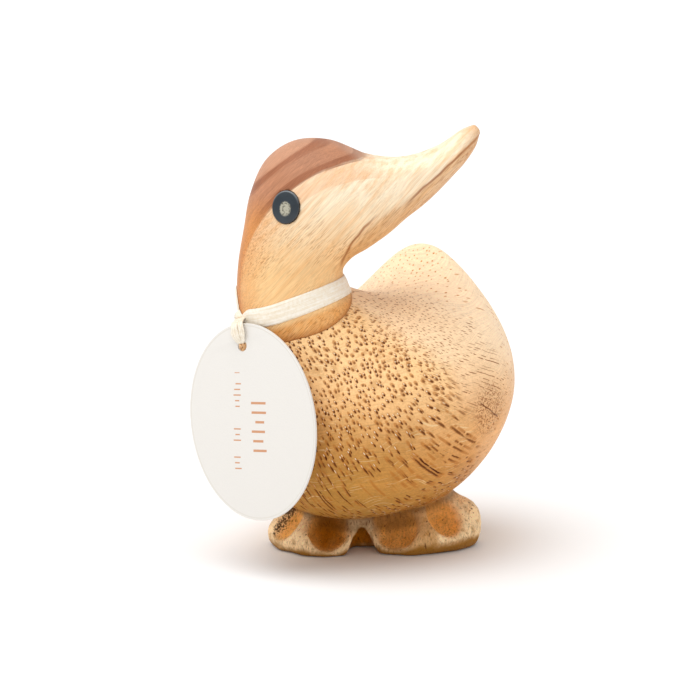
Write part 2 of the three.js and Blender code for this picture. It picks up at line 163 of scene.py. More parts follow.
# Ribbon round the neck: a band, a knot at the nape and the strands that carry the tag
RIBBON = {"width": 5.4, "thickness": 0.36, "clear": 0.12, "height": 75.8, "tilt": -20, "lift": -4.5,
          "edge": 6, "edge_thin": 0.7, "search": 0.45}
RIBBON_SEGMENTS = 220
RIBBON_COLUMNS = 14
RIBBON_PINCH = {"width": 1.7, "near": 0.4, "far": (0.6, 1.8)}
RIBBON_RISE = {"height": 8.6, "fall": (0.3, 2.2), "knot": 1.2, "knot_reach": 1.0, "climb": 3.5}
KNOT = {"angle": 0.34, "forward": -16.2, "height": 72.2, "side": 5.6, "radii": (2.3, 2.0, 1.9),
        "fold": 0.1, "folds": 5, "twist": 1.5}
KNOT_DETAIL = 4
STRAND = {"radius": 0.24, "count": 46, "spread": 0.8, "wander": 0.7, "sides": 6, "seed": 4}
WANDER_SIZE = 2.4
LOOP_STEPS = 60
LOOP_STOPS = (
    {"across": 0.4, "depth": 1.2, "rise": 6.2, "width": 4.6},
    {"across": 0.5, "depth": 1.6, "rise": 4.0, "width": 5.4},
    {"across": 0.3, "depth": 1.2, "rise": 2.4, "width": 4.6},
    {"across": 0, "depth": 0, "rise": 1.0, "width": 2.2},
    {"across": 0, "depth": -1.2, "rise": 2.0, "width": 2.2},
    {"across": 0.6, "depth": -1.8, "rise": 5.0, "width": 2.6},
)

# Name tag: an oval card with a punched hole, leaning on the breast
TAG = {"long": 57, "wide": 44.4, "thickness": 0.8, "bevel": 0.12, "hole": 1.6, "hole_place": (1.8, 21.9)}
TAG_CENTRE = (-8.1, -48, 44.1)
TAG_LEAN = 8.5
TAG_SWING = 20
TAG_SEGMENTS = 160
HOLE_SEGMENTS = 48
TAG_EDGE_DETAIL = 3

# Bamboo root: its tubes run from the breast up to the tail and end as open pores where the carving
# cuts them, large in front, fine over the back and pale at the tail
GRAIN = {"side": (0.997, -0.076, 0), "slope": 0.113, "bend": 0.0222, "bend_top": 56.0, "close": 2.3}
GRAIN_DRIFT = {"size": 7.0, "reach": 1.1}
FRONT = {"height": 50.0, "slope": 0.25, "low_slope": 0.55, "ragged": 9.0, "ragged_size": 9.0,
         "fade": (-20.0, -9.0)}
BAND = {"reach": (-16.0, 7.0), "edge": 9.0, "rise": (40.0, 52.0)}
TAIL_FADE = (-2.0, 14.0)
TAIL_RISE = (50.0, 68.0)
# Heights where the darker flank and belly give way to the lighter back and top of the breast: partly the
# root's own tone, partly painted light on the upper surfaces
FLANK_TONE_AND_LIGHT_FADE = (38.0, 68.0)
BREAST_TONE_AND_LIGHT_FADE = (26.0, 64.0)
# Olive brown low down, reaching higher towards the breast: partly the root's own colour, partly painted shade
# of the lower body and under the tag
LOW_OLIVE_AND_SHADE_FADE = (0.0, 40.0)
LOW_OLIVE_AND_SHADE_SLOPE = 0.5
PORE_LAYERS = {
    "large": {"pitch": (1.3, 1.85), "radius": 0.22, "long": 2.0, "vary": 0.15, "scatter": 0.88,
              "missing": 0.08, "soft": 0.4, "break": 3.0, "lean": 33},
    "small": {"pitch": (1.45, 0.85), "radius": 0.34, "long": 0.4, "vary": 0.2, "scatter": 0.9,
              "missing": 0.06, "soft": 0.4, "break": 2.4, "lean": -14},
    "pale": {"pitch": (1.7, 2.6), "radius": 0.24, "long": 1.6, "vary": 0.14, "scatter": 0.8,
             "missing": 0.08, "soft": 0.4, "break": 2.0, "lean": 33},
    "specks": {"pitch": (0.8, 1.0), "radius": 0.1, "long": 1.4, "vary": 0.16, "scatter": 1.0,
               "missing": 0.3, "soft": 0.3, "break": 2.0, "lean": 33},
}
SPECK_SHARE = 0.85
SMALL_PORE_RELIEF = 0.4
# Each large pore's dark core is shifted to its deep side, away from the light: painted shade in the pit over
# its brown
PORE_SHADE_SHIFT = (0.07, -0.16, 0)
PORE_RING = (0.9, 1.75)
RING_SHARE = 0.65
PORE_VARY = 0.45
LENGTHWAYS = {"from": (0.2, 0.6), "shown": (0.35, 0.42), "apart": 37.0}
# Pale lips on the lit side of the large pores: painted highlights where the pit's floor catches the light
LIP_HIGHLIGHT = {"shift": (-0.1, 0.17, 0), "sharp": 0.04, "radius": 0.18, "share": (0.25, 0.6), "strength": 0.85}
PORE_DEPTH = 0.16
PORE_PIT = 0.22
CLOUD = {"size": 11.0, "reach": 14.0, "strength": 0.14}
GRIT = {"size": 0.6, "strength": 0.42}
SMUDGE = {"size": 3.4, "from": (0.5, 0.72), "share": 0.4, "behind": 0.2}
STRIPE = {"width": 0.35, "length": 6.0, "strength": 0.3, "relief": 0.3}
SCRATCH = {"across": (-0.16, -0.12, 0.98), "along": (0.8, 0.59, 0.2), "out": (0.59, -0.8, 0.0),
           "width": 0.34, "length": 9.0, "bend_size": 18.0, "bend": 14.0, "from": (0.63, 0.73),
           "share": 0.42, "relief": 0.25}
SANDING = {"width": 0.26, "length": 12.0, "bend_size": 30.0, "bend": 10.0, "strength": 0.45, "relief": 0.25}
MOTTLE = {"centre": (42, -1, 46), "radius": (5.0, 11.0), "share": 0.75, "size": 0.6, "from": (0.5, 0.6)}
# The crack is drawn on the flank as seen from the side, so its places have no x
CRACK = {"start": (0, -6.5, 48.7), "end": (0, 3.7, 43.0), "width": (0.05, 0.35), "share": 0.85,
         "bend_size": 5.0, "bend": 2.2, "flank": (30, 34)}
ROOT_SHEEN = {"rough": 0.4, "cloud": 0.1, "pore": 0.3, "foot": 0.1, "coat": 0.02, "coat_rough": 0.35,
              "gloss": 0.12}
# Back and front are the lighter colours high up, partly painted light; low is partly painted shade
ROOT_COLOURS = {"tail": "#ffe0ba", "back": "#ffdcb2", "flank": "#eaae70", "front": "#fcce94",
                "belly": "#d8944e", "low": "#ba863c", "pore": "#521e00", "ring": "#b46c24",
                # pore is the pits' brown with painted shade in them; lip is a painted highlight
                "pale_pore": "#c47c2c", "small_pore": "#8a4816", "lip": "#fff0d0", "smudge": "#ac7430",
                "scratch": "#ffe4b0", "crack": "#6a3000"}
# In FOOT, deep is the depth over which painted shade darkens the scoops
FOOT = {"cloud": 6.0, "scoop_share": 0.85, "deep": (0.6, 4.6), "deep_cloud": 2.0, "fine": 0.8,
        "fine_strength": 0.7, "blotch": 3.0, "blotch_strength": 0.5,
        "grime": 2.4, "grime_from": (0.48, 0.68), "grime_share": 0.5,
        # crease and hollow set the painted shade under the belly: the crease, and the middle of the feet's
        # tops near it
        "sole": (0.4, 3.0), "sole_ragged": 4.5, "crease": (0.4, 0.95), "crease_share": 0.7,
        "hollow": (-14.0, 10.0), "hollow_edge": 6.0, "hollow_from": (-0.05, 0.4), "hollow_share": 0.55,
        "patch": 5.0, "patch_from": (0.4, 0.6), "burn": 0.6, "burn_reach": 1.9, "burn_from": (0.7, 1.05),
        "burn_share": 0.85, "stroke": 0.45, "stroke_long": 3.6, "stroke_strength": 0.9,
        "pit": 0.55, "pit_from": (0.58, 0.7), "pit_share": 0.4, "facet": (12.0, 18.0),
        "facet_edge": 2.0, "facet_share": 0.55,
        "sole_rise": 1.2, "sole_side": (0.0, 16.0), "grit": 0.7, "grit_relief": 0.6, "stroke_relief": 0.8}
# deep is painted shade deep in the scoops
FOOT_COLOURS = {"ridge": "#ffdcaa", "grime": "#b47c3c", "scoop": "#f8b050", "deep": "#b46c0c",
                # crease is partly the wood's brown, partly painted shade under the belly
                "facet": "#c48630", "crease": "#603400", "sole": "#a4702a", "speck": "#5c2c00",
                "burn": "#241000"}
BURN = {"gouge": 0, "side": (-0.55, 0.83), "from": 0.5, "edge": 3.0}

# Head wood: pale, with straight grain, a red-brown heart outside a ring round the throat, and darker
# figure along the jaw; places are forward and height in the head's profile plane, in millimetres
HEAD_GRAIN = (0.68, 0.73)
HEAD_DEEP = 2.5
HEAD_FIGURE = {"across": 1.2, "along": 36.0, "share": (0.3, 0.8), "strength": 0.62, "rise": (84.0, 114.0)}
HEAD_STREAK = {"across": 0.24, "along": 7.0, "strength": 0.6, "relief": 0.12}
HEAD_DASH = {"across": 0.22, "along": 3.6, "from": (0.53, 0.64), "patch": 14.0, "patch_from": (0.4, 0.6),
             "height": (92.0, 112.0), "share": 0.5, "relief": 0.15}
HEART = {"centre": (21.6, 80.2), "radius": 38.2, "edge": (-0.6, 0.6), "ragged": 2.2, "ragged_size": 14.0,
         "line": (0.2, 1.6), "line_edge": 0.9, "line_share": 0.5, "crown": (98.0, 110.0),
         "layer": 0.6, "layer_long": 12.0, "layer_strength": 0.6, "blush": (-8.0, 0.0), "blush_share": 0.5,
         "front": (14.0, 27.0), "sweep": 0.6, "rim": (7.3, 8.3), "rim_line": (6.6, 7.2), "rim_share": 0.5}
PALE_RING = {"reach": (-4.6, -0.6), "edge": 0.9, "rise": (103.0, 110.0), "share": 0.45}
JAW = {"edge": (-1.2, 1.4), "widens": (24.0, 36.0), "wider": 2.2, "from": (10.0, 15.0), "share": 0.6,
       "arc_centre": (38.4, 80.7), "arc_radius": 27.0, "arc_reach": (14.0, 19.0), "arc_rise": (85.0, 90.0)}
BILL_LINE = {"through": (40.0, 113.8), "slope": (0.74, 0.67), "reach": (34.0, 52.0)}
FIGURE_LINE = {"reach": (0.0, 0.6), "fade": 5.0, "share": 0.8, "bend": 1.4, "bend_size": 6.0,
               "bill_bend": 0.5}
BILL_TIP = {"reach": (44.0, 52.0), "share": 0.5}
NECK_FOOT = {"under": (-5.0, -3.0), "share": 0.85, "blotch": 2.2, "least": 0.4, "seam": 1.1,
             "seam_share": 0.75}
HEAD_SHEEN = {"rough": 0.42, "vary": 0.12, "coat": 0.04, "coat_rough": 0.3, "gloss": 0.18, "depth": 0.12}
HEAD_COLOURS = {"pale": "#ffefd2", "cheek": "#f6cb92", "honey": "#eeb678", "dash": "#9c5a22",
                "crown": "#b88060", "nape": "#d48c4c", "heart_line": "#84401a", "blush": "#dc924c",
                "ring": "#f0ae7c", "rim": "#d8a484", "jaw": "#d0924c", "line": "#944a0c", "tip": "#cc8844",
                "foot": "#e8a45a"}

# Inlaid eyes, satin ribbon and card
PUPIL = {"centre": (0.15, -0.5), "radii": (1.7, 2.1), "edge": (0.82, 1.1), "ragged": 0.5, "grain": 0.5,
         "speck": (0.32, 0.52)}
# Light rim at the top of each eye: a painted highlight on its rounded edge
EYE_RIM_HIGHLIGHT = {"reach": (0.86, 0.97), "top": (0.1, 0.9), "share": 0.5}
EYE_SHEEN = {"rough": 0.32, "coat": 0.3, "coat_rough": 0.2, "cloud": 2.0, "depth": 0.1}
EYE_COLOURS = {"disc": "#101c24", "sheen": "#202e38", "pupil": "#b4b09c", "speck": "#4c493c",
               # rim is the colour of the painted highlight
               "rim": "#8d9498"}
SATIN = {"thread": 0.16, "thread_long": 9.0, "thread_share": 0.4, "crease": 0.7, "crease_long": 14.0,
         "crease_share": 0.35, "fuzz": 0.9, "fuzz_share": 0.25, "lit": (0.35, 0.65), "length": 105.0,
         "thread_relief": 0.6, "depth": 0.1}
SATIN_SHEEN = {"rough": 0.35, "thread": 0.2, "sheen": 0.25, "sheen_rough": 0.4, "gloss": 0.6}
# Lighter and darker cream of the one satin: painted sheen and shade along its threads and creases
SATIN_COLOURS = {"light": "#fff9ee", "deep": "#ecdcc0"}
CARD_GRAIN = {"size": 0.5, "strength": 0.03, "depth": 0.03, "rough": 0.55}
CARD_COLOURS = {"card": "#e6e2dc", "ink": "#cf9670", "edge": "#d8d2c6"}
# Thin darker line just inside the card's edge: painted shade of the edge
CARD_EDGE_SHADE = {"reach": (0.45, 0.65), "soft": 0.1, "share": 0.5}
CARD_FACE = 0.2
ROW_LEAN = 13.9
ROWS = (
    {"centre": (-4.9, 1.1), "half_long": 14.2, "pitch": 1.62, "stroke": 0.16, "tall": (1.0, 2.6),
     "gap": 0.14},
    {"centre": (2.2, -2.0), "half_long": 8.2, "pitch": 2.72, "stroke": 0.32, "tall": (2.6, 5.2),
     "gap": 0.0},
)
STROKE_SOFT = {"side": 0.06, "end": 0.1}
ROW_SEED = (3.7, 9.1)

# Camera, found from the photograph: how it turns round the duck and where its feet stand in the frame
CAMERA = {"azimuth": 36, "elevation": 11, "distance": 900, "frame": 210, "sensor": 36, "near": 20}
PICTURE = {"size": 700, "scale": 0.3, "feet_x": 373, "feet_y": 541}
FLOOR = {"size": 60, "drop": 0.02, "colour": "#f6f6f6", "roughness": 0.9}
SKY = {"colour": "#ffffff", "strength": 0.7}
SUN = {"side": -0.32, "rise": 1.0, "front": 0.15, "strength": 1.9, "angle": 60}


def turn_matrix(degrees):
    x, y, z = (math.radians(angle) for angle in degrees)
    turned = Matrix.Rotation(z, 3, "Z") @ Matrix.Rotation(y, 3, "Y") @ Matrix.Rotation(x, 3, "X")
    return np.array(turned)


def ellipsoid(points, shape):
    """Distance-like field of an ellipsoid, below zero inside it."""
    local = (points - np.array(shape["centre"])) @ turn_matrix(shape["turn"])
    local = local / np.array(shape["radii"])
    reach = np.linalg.norm(local, axis=1) + TINY
    slope = np.linalg.norm(local / np.array(shape["radii"]), axis=1) + TINY
    return reach * (reach - 1) / slope


def round_cone(points, start, end):
    """Distance-like field of a cone with round ends, from one ball to another."""
    axis = np.array(end["at"], float) - np.array(start["at"], float)
    length = np.linalg.norm(axis)
    axis = axis / length
    offset = points - np.array(start["at"], float)
    along = np.clip(offset @ axis / length, 0, 1)
    radius = start["radius"] + (end["radius"] - start["radius"]) * along
    return np.linalg.norm(offset - (along * length)[:, None] * axis, axis=1) - radius


def blend(a, b, reach):
    """Smooth union of two fields, rounded over a reach."""
    share = np.clip(0.5 + 0.5 * (b - a) / reach, 0, 1)
    return b + (a - b) * share - reach * share * (1 - share)


def carve(solid, cutter, edge):
    """Smooth cut of one field out of another."""
    return -blend(-solid, cutter, edge)


def torso_field(points):
    plump = blend(ellipsoid(points, BELLY), ellipsoid(points, TAIL), TAIL_BLEND)
    return blend(plump, ellipsoid(points, SHOULDER), SHOULDER_BLEND)


def in_feet_frame(points):
    return points @ turn_matrix((0, 0, FEET_TURN))


def uncut_feet_field(local):
    """Feet in their own frame before the gouges between the toes are cut."""
    wood = ellipsoid(local, FOOT_ROOT)
    for toe in TOES + WEBS + HEELS:
        wood = blend(wood, round_cone(local, ANKLES[toe["ankle"]], toe), FOOT_BLEND)
    return wood


def feet_field(points):
    local = in_feet_frame(points)
    wood = uncut_feet_field(local)
    for gouge in GOUGES:
        wood = carve(wood, ellipsoid(local, gouge), GOUGE_EDGE)
    return wood


def body_field(points):
    """Torso and feet as one carving, cut flat where the feet stand."""
    wood = torso_field(points)
    low = points[:, 2] < FEET_TOP
    wood[low] = blend(wood[low], feet_field(points[low]), CREASE)
    return carve(wood, points[:, 2], SOLE_EDGE)


def field_slope(field, points):
    here = field(points)
    slope = np.empty_like(points)
    for axis in range(3):
        ahead = points.copy()
        ahead[:, axis] += SLOPE_STEP
        slope[:, axis] = (field(ahead) - here) / SLOPE_STEP
    return here, slope


def settle(field, points, level=0.0):
    """Moves points along the field's slope onto one of its levels."""
    points = points.copy()
    for _ in range(SETTLE_STEPS):
        here, slope = field_slope(field, points)
        steep = np.maximum((slope**2).sum(1), LEAST_SLOPE)
        points -= slope * ((here - level) / steep)[:, None]
    return points


def surface_net(field, low, high, cell):
    """Points and quads of the surface where a field is zero: one point in each crossed cell."""
    counts = [int((top - bottom) / cell) + 1 for bottom, top in zip(low, high)]
    lines = [bottom + cell * np.arange(count) for bottom, count in zip(low, counts)]
    grid = np.stack(np.meshgrid(*lines, indexing="ij"), -1)
    samples = field(grid.reshape(-1, 3)).reshape(counts)
    cells = tuple(count - 1 for count in counts)
    total = np.zeros(cells + (3,))
    found = np.zeros(cells)
    for axis in range(3):
        sides = [other for other in range(3) if other != axis]
        for first in (0, 1):
            for second in (0, 1):
                shift = [0, 0, 0]
                shift[sides[0]] = first
                shift[sides[1]] = second
                near = samples[tuple(slice(s, s + n) for s, n in zip(shift, cells))]
                shift[axis] = 1
                far = samples[tuple(slice(s, s + n) for s, n in zip(shift, cells))]
                crossed = (near < 0) != (far < 0)
                share = near[crossed] / (near[crossed] - far[crossed])
                place = np.tile(np.array(shift, float), (len(share), 1))
                place[:, axis] = share
                total[crossed] += place
                found[crossed] += 1
    used = found > 0
    middle = total[used] / found[used][:, None]
    corners = np.argwhere(used)
    points = np.array(low) + cell * (corners + middle)
    number = np.full(cells, -1)
    number[used] = np.arange(len(points))
    quads = []
    for axis in range(3):
        side_a, side_b = (axis + 1) % 3, (axis + 2) % 3
        ahead = corners.copy()
        ahead[:, axis] += 1
        inside = samples[tuple(corners.T)] < 0
        crossed = inside != (samples[tuple(ahead.T)] < 0)
        start = corners[crossed]
        step_a = np.eye(3, dtype=int)[side_a]
        step_b = np.eye(3, dtype=int)[side_b]
        ring = [start, start - step_a, start - step_a - step_b, start - step_b]
        faces = np.stack([number[tuple(place.T)] for place in ring], 1)
        inside = inside[crossed]
        quads.append(faces[inside])
        quads.append(faces[~inside][:, ::-1])
    return points, np.vstack(quads)


def smooth_curve(stops, along):
    """Centripetal Catmull-Rom curve through the stops, at shares of the way from first to last."""
    stops = np.asarray(stops, float)
    padded = np.vstack([2 * stops[0] - stops[1], stops, 2 * stops[-1] - stops[-2]])
    place = np.clip(np.asarray(along, float), 0, 1) * (len(stops) - 1)
    index = np.minimum(place.astype(int), len(stops) - 2)
    share = (place - index)[..., None]
    p0, p1, p2, p3 = (padded[index + step] for step in range(4))
    d0, d1, d2 = (np.sqrt(np.linalg.norm(b - a, axis=-1))[..., None]
                  for a, b in ((p0, p1), (p1, p2), (p2, p3)))
    t1 = ((p1 - p0) / d0 - (p2 - p0) / (d0 + d1) + (p2 - p1) / d1) * d1
    t2 = ((p2 - p1) / d1 - (p3 - p1) / (d1 + d2) + (p3 - p2) / d2) * d1
    return (p1 + t1 * share + (3 * (p2 - p1) - 2 * t1 - t2) * share**2
            + (2 * (p1 - p2) + t1 + t2) * share**3)


def head_skin(along, angle, offset):
    """Points of the head's skin in its own frame, +X towards the bill, after growing it by an offset."""
    along, angle, offset = np.broadcast_arrays(along, angle, offset)
    back = smooth_curve([station["back"] for station in HEAD_STATIONS], along)
    front = smooth_curve([station["front"] for station in HEAD_STATIONS], along)
    halves = [(index, station["half"]) for index, station in enumerate(HEAD_STATIONS)]
    half = smooth_curve(halves, along)[..., 1] + offset
    across = (back - front) / 2
    reach = np.linalg.norm(across, axis=-1)
    across = across * ((reach + offset) / reach)[..., None]
    power = 2 / HEAD_ROUNDNESS
    level = np.sign(np.cos(angle)) * np.abs(np.cos(angle)) ** power
    sideways = np.sign(np.sin(angle)) * np.abs(np.sin(angle)) ** power
    profile = (front + back) / 2 + across * level[..., None]
    return np.stack([profile[..., 0], -half * sideways, profile[..., 1]], -1)


def head_place(points):
    return points @ turn_matrix((0, 0, HEAD_TURN)).T + np.array(NECK_PLACE)


def neck_foot(angle):
    """Share along the head at which its skin meets the torso's surface, for each angle."""
    low = np.zeros_like(angle)
    high = np.full_like(angle, SEAM["search"])
    for _ in range(BISECTIONS):
        middle = (low + high) / 2
        sunk = torso_field(head_place(head_skin(middle, angle, 0))) < SEAM["gap"]
        low = np.where(sunk, middle, low)
        high = np.where(sunk, high, middle)
    return high


def mesh_object(name, points, faces, edges=()):
    mesh = bpy.data.meshes.new(name)
    mesh.from_pydata((np.asarray(points) * MM).tolist(), edges, [list(map(int, face)) for face in faces])
    mesh.shade_smooth()
    made = bpy.data.objects.new(name, mesh)
    bpy.context.scene.collection.objects.link(made)
    return made


def store(made, name, values):
    attribute = made.data.attributes.new(name, "FLOAT", "POINT")
    attribute.data.foreach_set("value", np.asarray(values, np.float32))


def finish_piece(made, nodes, material):
    made.data.materials.clear()
    made.data.materials.append(material)
    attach(made, "root")
    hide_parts(*nodes)
    return made


def baked(made):
    """Plain mesh of an object with its modifiers applied and removed."""
    bpy.context.view_layer.update()
    evaluated = made.evaluated_get(bpy.context.evaluated_depsgraph_get())
    result = bpy.data.meshes.new_from_object(evaluated)
    made.modifiers.clear()
    if made.type == "MESH":
        made.data = result
        return made
    plain = bpy.data.objects.new(made.name + "_mesh", result)
    bpy.context.scene.collection.objects.link(plain)
    bpy.data.objects.remove(made)
    return plain


def stitch_rings(count, segments):
    """Quads between rings of points that follow each other, each ring closed."""
    faces = []
    for ring in range(count - 1):
        for segment in range(segments):
            after = (segment + 1) % segments
            here = ring * segments
            faces.append((here + segment, here + after, here + segments + after, here + segments + segment))
    return faces


def capped_rings(count, segments):
    """Faces of a closed loft: a first point, rings of points and a last point."""
    faces = [tuple(1 + place for place in quad) for quad in stitch_rings(count, segments)]
    last_ring = 1 + (count - 1) * segments
    last_point = 1 + count * segments
    for segment in range(segments):
        after = (segment + 1) % segments
        faces.append((0, 1 + after, 1 + segment))
        faces.append((last_point, last_ring + segment, last_ring + after))
    return faces


def colour(text):
    """Linear colour of a hex colour."""
    parts = [int(text[place:place + 2], 16) / 255 for place in (1, 3, 5)]
    linear = [part / 12.92 if part <= 0.04045 else ((part + 0.055) / 1.055) ** 2.4 for part in parts]
    return (*linear, 1.0)


class Wire:
    """A socket of a node tree; arithmetic on it adds Math nodes."""

    def __init__(self, board, socket):
        self.board = board
        self.socket = socket

    def __add__(self, other):
        return self.board.maths("ADD", self, other)

    __radd__ = __add__

    def __sub__(self, other):
        return self.board.maths("SUBTRACT", self, other)

    def __rsub__(self, other):
        return self.board.maths("SUBTRACT", other, self)

    def __mul__(self, other):
        return self.board.maths("MULTIPLY", self, other)

    __rmul__ = __mul__

    def __truediv__(self, other):
        return self.board.maths("DIVIDE", self, other)

    def __rtruediv__(self, other):
        return self.board.maths("DIVIDE", other, self)

    def other(self, name):
        """Another output of the same node."""
        return Wire(self.board, self.socket.node.outputs[name])


class Board:
    """A node tree, and the methods that add nodes to it."""

    def __init__(self, tree):
        self.tree = tree

    def node(self, kind, settings=None, values=None, output=0):
        made = self.tree.nodes.new(kind)
        for setting, value in (settings or {}).items():
            setattr(made, setting, value)
        for socket, value in (values or {}).items():
            if isinstance(value, Wire):
                self.tree.links.new(value.socket, made.inputs[socket])
            else:
                made.inputs[socket].default_value = value
        return Wire(self, made.outputs[output])

    def maths(self, operation, *values):
        return self.node("ShaderNodeMath", {"operation": operation}, dict(enumerate(values)))

    def vector(self, operation, *values, output=0):
        return self.node("ShaderNodeVectorMath", {"operation": operation}, dict(enumerate(values)), output)

    def scaled(self, vector, by):
        return self.node("ShaderNodeVectorMath", {"operation": "SCALE"}, {0: vector, "Scale": by})

    def along(self, place, direction):
        return self.vector("DOT_PRODUCT", place, tuple(direction), output="Value")

    def length(self, vector):
        return self.vector("LENGTH", vector, output="Value")

    def join(self, x, y, z=0.0):
        return self.node("ShaderNodeCombineXYZ", None, {0: x, 1: y, 2: z})

    def parts(self, vector):
        first = self.node("ShaderNodeSeparateXYZ", None, {0: vector})
        return first, first.other(1), first.other(2)

    def noise(self, place, size=1.0, detail=PLAIN, output=0):
        """Noise whose features are about that many millimetres across."""
        values = {"Vector": place, "Scale": 1 / size, "Detail": detail}
        return self.node("ShaderNodeTexNoise", None, values, output)

    def drift(self, place, size, reach):
        """The place moved about by a slow noise, by up to half the reach."""
        level = self.vector("SUBTRACT", self.noise(place, size, SMOOTH, 1), (0.5, 0.5, 0.5))
        return self.vector("ADD", place, self.scaled(level, reach))

    def ease(self, value, start, end):
        """0 before start, 1 after end and smooth between them."""
        values = {"Value": value, 1: start, 2: end}
        return self.node("ShaderNodeMapRange", {"interpolation_type": "SMOOTHSTEP"}, values)

    def between(self, value, low, high, edge):
        """1 from low to high, easing off to 0 over an edge on either side."""
        return self.ease(value, low - edge, low) * (1 - self.ease(value, high, high + edge))


class Paint(Board):
    """A material, and what its nodes feed."""

    def __init__(self, name, **constants):
        self.material = bpy.data.materials.new(name)
        self.material.use_nodes = True
        super().__init__(self.material.node_tree)
        self.surface = self.tree.nodes["Principled BSDF"]
        for socket, value in constants.items():
            self.surface.inputs[socket.replace("_", " ")].default_value = value

    def place(self):
        """Position on the piece in millimetres."""
        return self.scaled(self.node("ShaderNodeTexCoord", output="Object"), 1 / MM)

    def facing(self):
        return self.node("ShaderNodeTexCoord", output="Normal")

    def attribute(self, name):
        return self.node("ShaderNodeAttribute", {"attribute_name": name}, output="Fac")

    def mix(self, share, first, second):
        return self.node("ShaderNodeMix", {"data_type": "RGBA"}, {0: share, 6: first, 7: second}, 2)

    def shade(self, hue, share):
        """A colour made lighter or darker by a share round 1."""
        return self.scaled(hue, share)

    def feed(self, socket, wire):
        self.tree.links.new(wire.socket, self.surface.inputs[socket])

    def bump(self, height, depth):
        """Relief from a height that stands for a depth in millimetres."""
        values = {"Strength": 1.0, "Distance": depth * MM, "Height": height}
        self.feed("Normal", self.node("ShaderNodeBump", None, values))


class Relief(Board):
    """A Geometry Nodes tree with named inputs, from a geometry in to a geometry out."""

    def __init__(self, name, **kinds):
        super().__init__(bpy.data.node_groups.new(name, "GeometryNodeTree"))
        sockets = self.tree.interface
        sockets.new_socket("Geometry", in_out="INPUT", socket_type="NodeSocketGeometry")
        self.names = {}
        for label, kind in kinds.items():
            shown = label.replace("_", " ").capitalize()
            made = sockets.new_socket(shown, in_out="INPUT", socket_type="NodeSocket" + kind)
            self.names[label] = made.identifier
        sockets.new_socket("Geometry", in_out="OUTPUT", socket_type="NodeSocketGeometry")
        inlets = self.tree.nodes.new("NodeGroupInput").outputs
        self.geometry = Wire(self, inlets[0])
        self.given = {label: Wire(self, inlets[step + 1]) for step, label in enumerate(kinds)}

    def place(self):
        """Position on the piece in millimetres."""
        return self.scaled(self.node("GeometryNodeInputPosition"), 1 / MM)

    def facing(self):
        return self.node("GeometryNodeInputNormal")

    def attribute(self, name):
        return self.node("GeometryNodeInputNamedAttribute", {"data_type": "FLOAT"}, {"Name": name})

    def finish(self, geometry):
        """Ends the tree in real geometry that wears the given material."""
        solid = self.node("GeometryNodeRealizeInstances", None, {0: geometry})
        dressed = self.node("GeometryNodeSetMaterial", None, {0: solid, "Material": self.given["material"]})
        outlet = self.tree.nodes.new("NodeGroupOutput")
        self.tree.links.new(dressed.socket, outlet.inputs[0])

    def apply(self, made, **values):
        """Runs the tree on an object, with its inputs set, and leaves a plain mesh."""
        modifier = made.modifiers.new(self.tree.name, "NODES")
        modifier.node_group = self.tree
        for label, value in values.items():
            modifier[self.names[label]] = value
        baked(made)
        made.data.shade_smooth()


def body_mesh():
    """Torso and feet as one carving, with the marks of the carving stored on its points."""
    points, faces = surface_net(body_field, **BODY_BOX)
    points = settle(body_field, points)
    made = mesh_object("duck_body", points, faces)
    torso = torso_field(points)
    feet = feet_field(points)
    local = in_feet_frame(points)
    store(made, "foot", np.clip(0.5 + (torso - feet) / FOOT_MARK, 0, 1))
    reach = np.stack([np.abs(ellipsoid(local, gouge)) for gouge in GOUGES])
    dark = np.array([gouge["dark"] for gouge in GOUGES])[reach.argmin(0)]
    cut = np.clip(2 - reach.min(0) / GOUGE_EDGE, 0, 1) * (torso > feet)
    depth = np.maximum(-uncut_feet_field(local), 0) * cut
    store(made, "scoop", np.clip(depth / SCOOP_RIM, 0, 1))
    # Depth into the scoops, for the painted shade that darkens them
    store(made, "depth", depth * dark)
    # Nearness to the crease between feet and belly, for its brown and painted shade
    store(made, "crease", np.clip(1 - np.maximum(np.abs(torso), np.abs(feet)) / CREASE_SHADE_MARK, 0, 1))
    burnt = GOUGES[BURN["gouge"]]
    near = np.clip(1 - np.abs(ellipsoid(local, burnt)) / GOUGE_MARK, 0, 1)
    side = (local[:, :2] - np.array(burnt["centre"][:2])) @ np.array(BURN["side"])
    store(made, "burn", near * np.clip((side - BURN["from"]) / BURN["edge"], 0, 1))
    return made


def work_surface(made, material):
    """Uneven hand-carved surface: slow waves all over, pits of the pores and tool marks on the feet."""
    relief = Relief("worked_surface", wave_height="Float", mark_height="Float", pore_depth="Float",
                    material="Material")
    place = relief.place()
    lifted = relief.ease(relief.along(place, UP), 0.0, SOLE_KEEP)
    slow = (relief.noise(place, WAVE_SIZE, SMOOTH) - 0.5) * relief.given["wave_height"]
    short = (relief.noise(place, TOOL_MARK_SIZE, TOOL_MARK_DETAIL) - 0.5) * relief.given["mark_height"]
    foot = relief.attribute("foot")
    pit = root_pores(relief, place)["large"] * (1 - foot) * relief.given["pore_depth"]
    height = (slow + short * foot) * lifted - pit
    offset = relief.scaled(relief.facing(), height)
    moved = relief.node("GeometryNodeSetPosition", None, {"Geometry": relief.geometry, "Offset": offset})
    relief.finish(moved)
    relief.apply(made, wave_height=WAVE_HEIGHT * MM, mark_height=TOOL_MARK_HEIGHT * MM,
                 pore_depth=PORE_PIT * MM, material=material)


def make_body(material):
    made = body_mesh()
    work_surface(made, material)
    return finish_piece(made, ["body"], material)


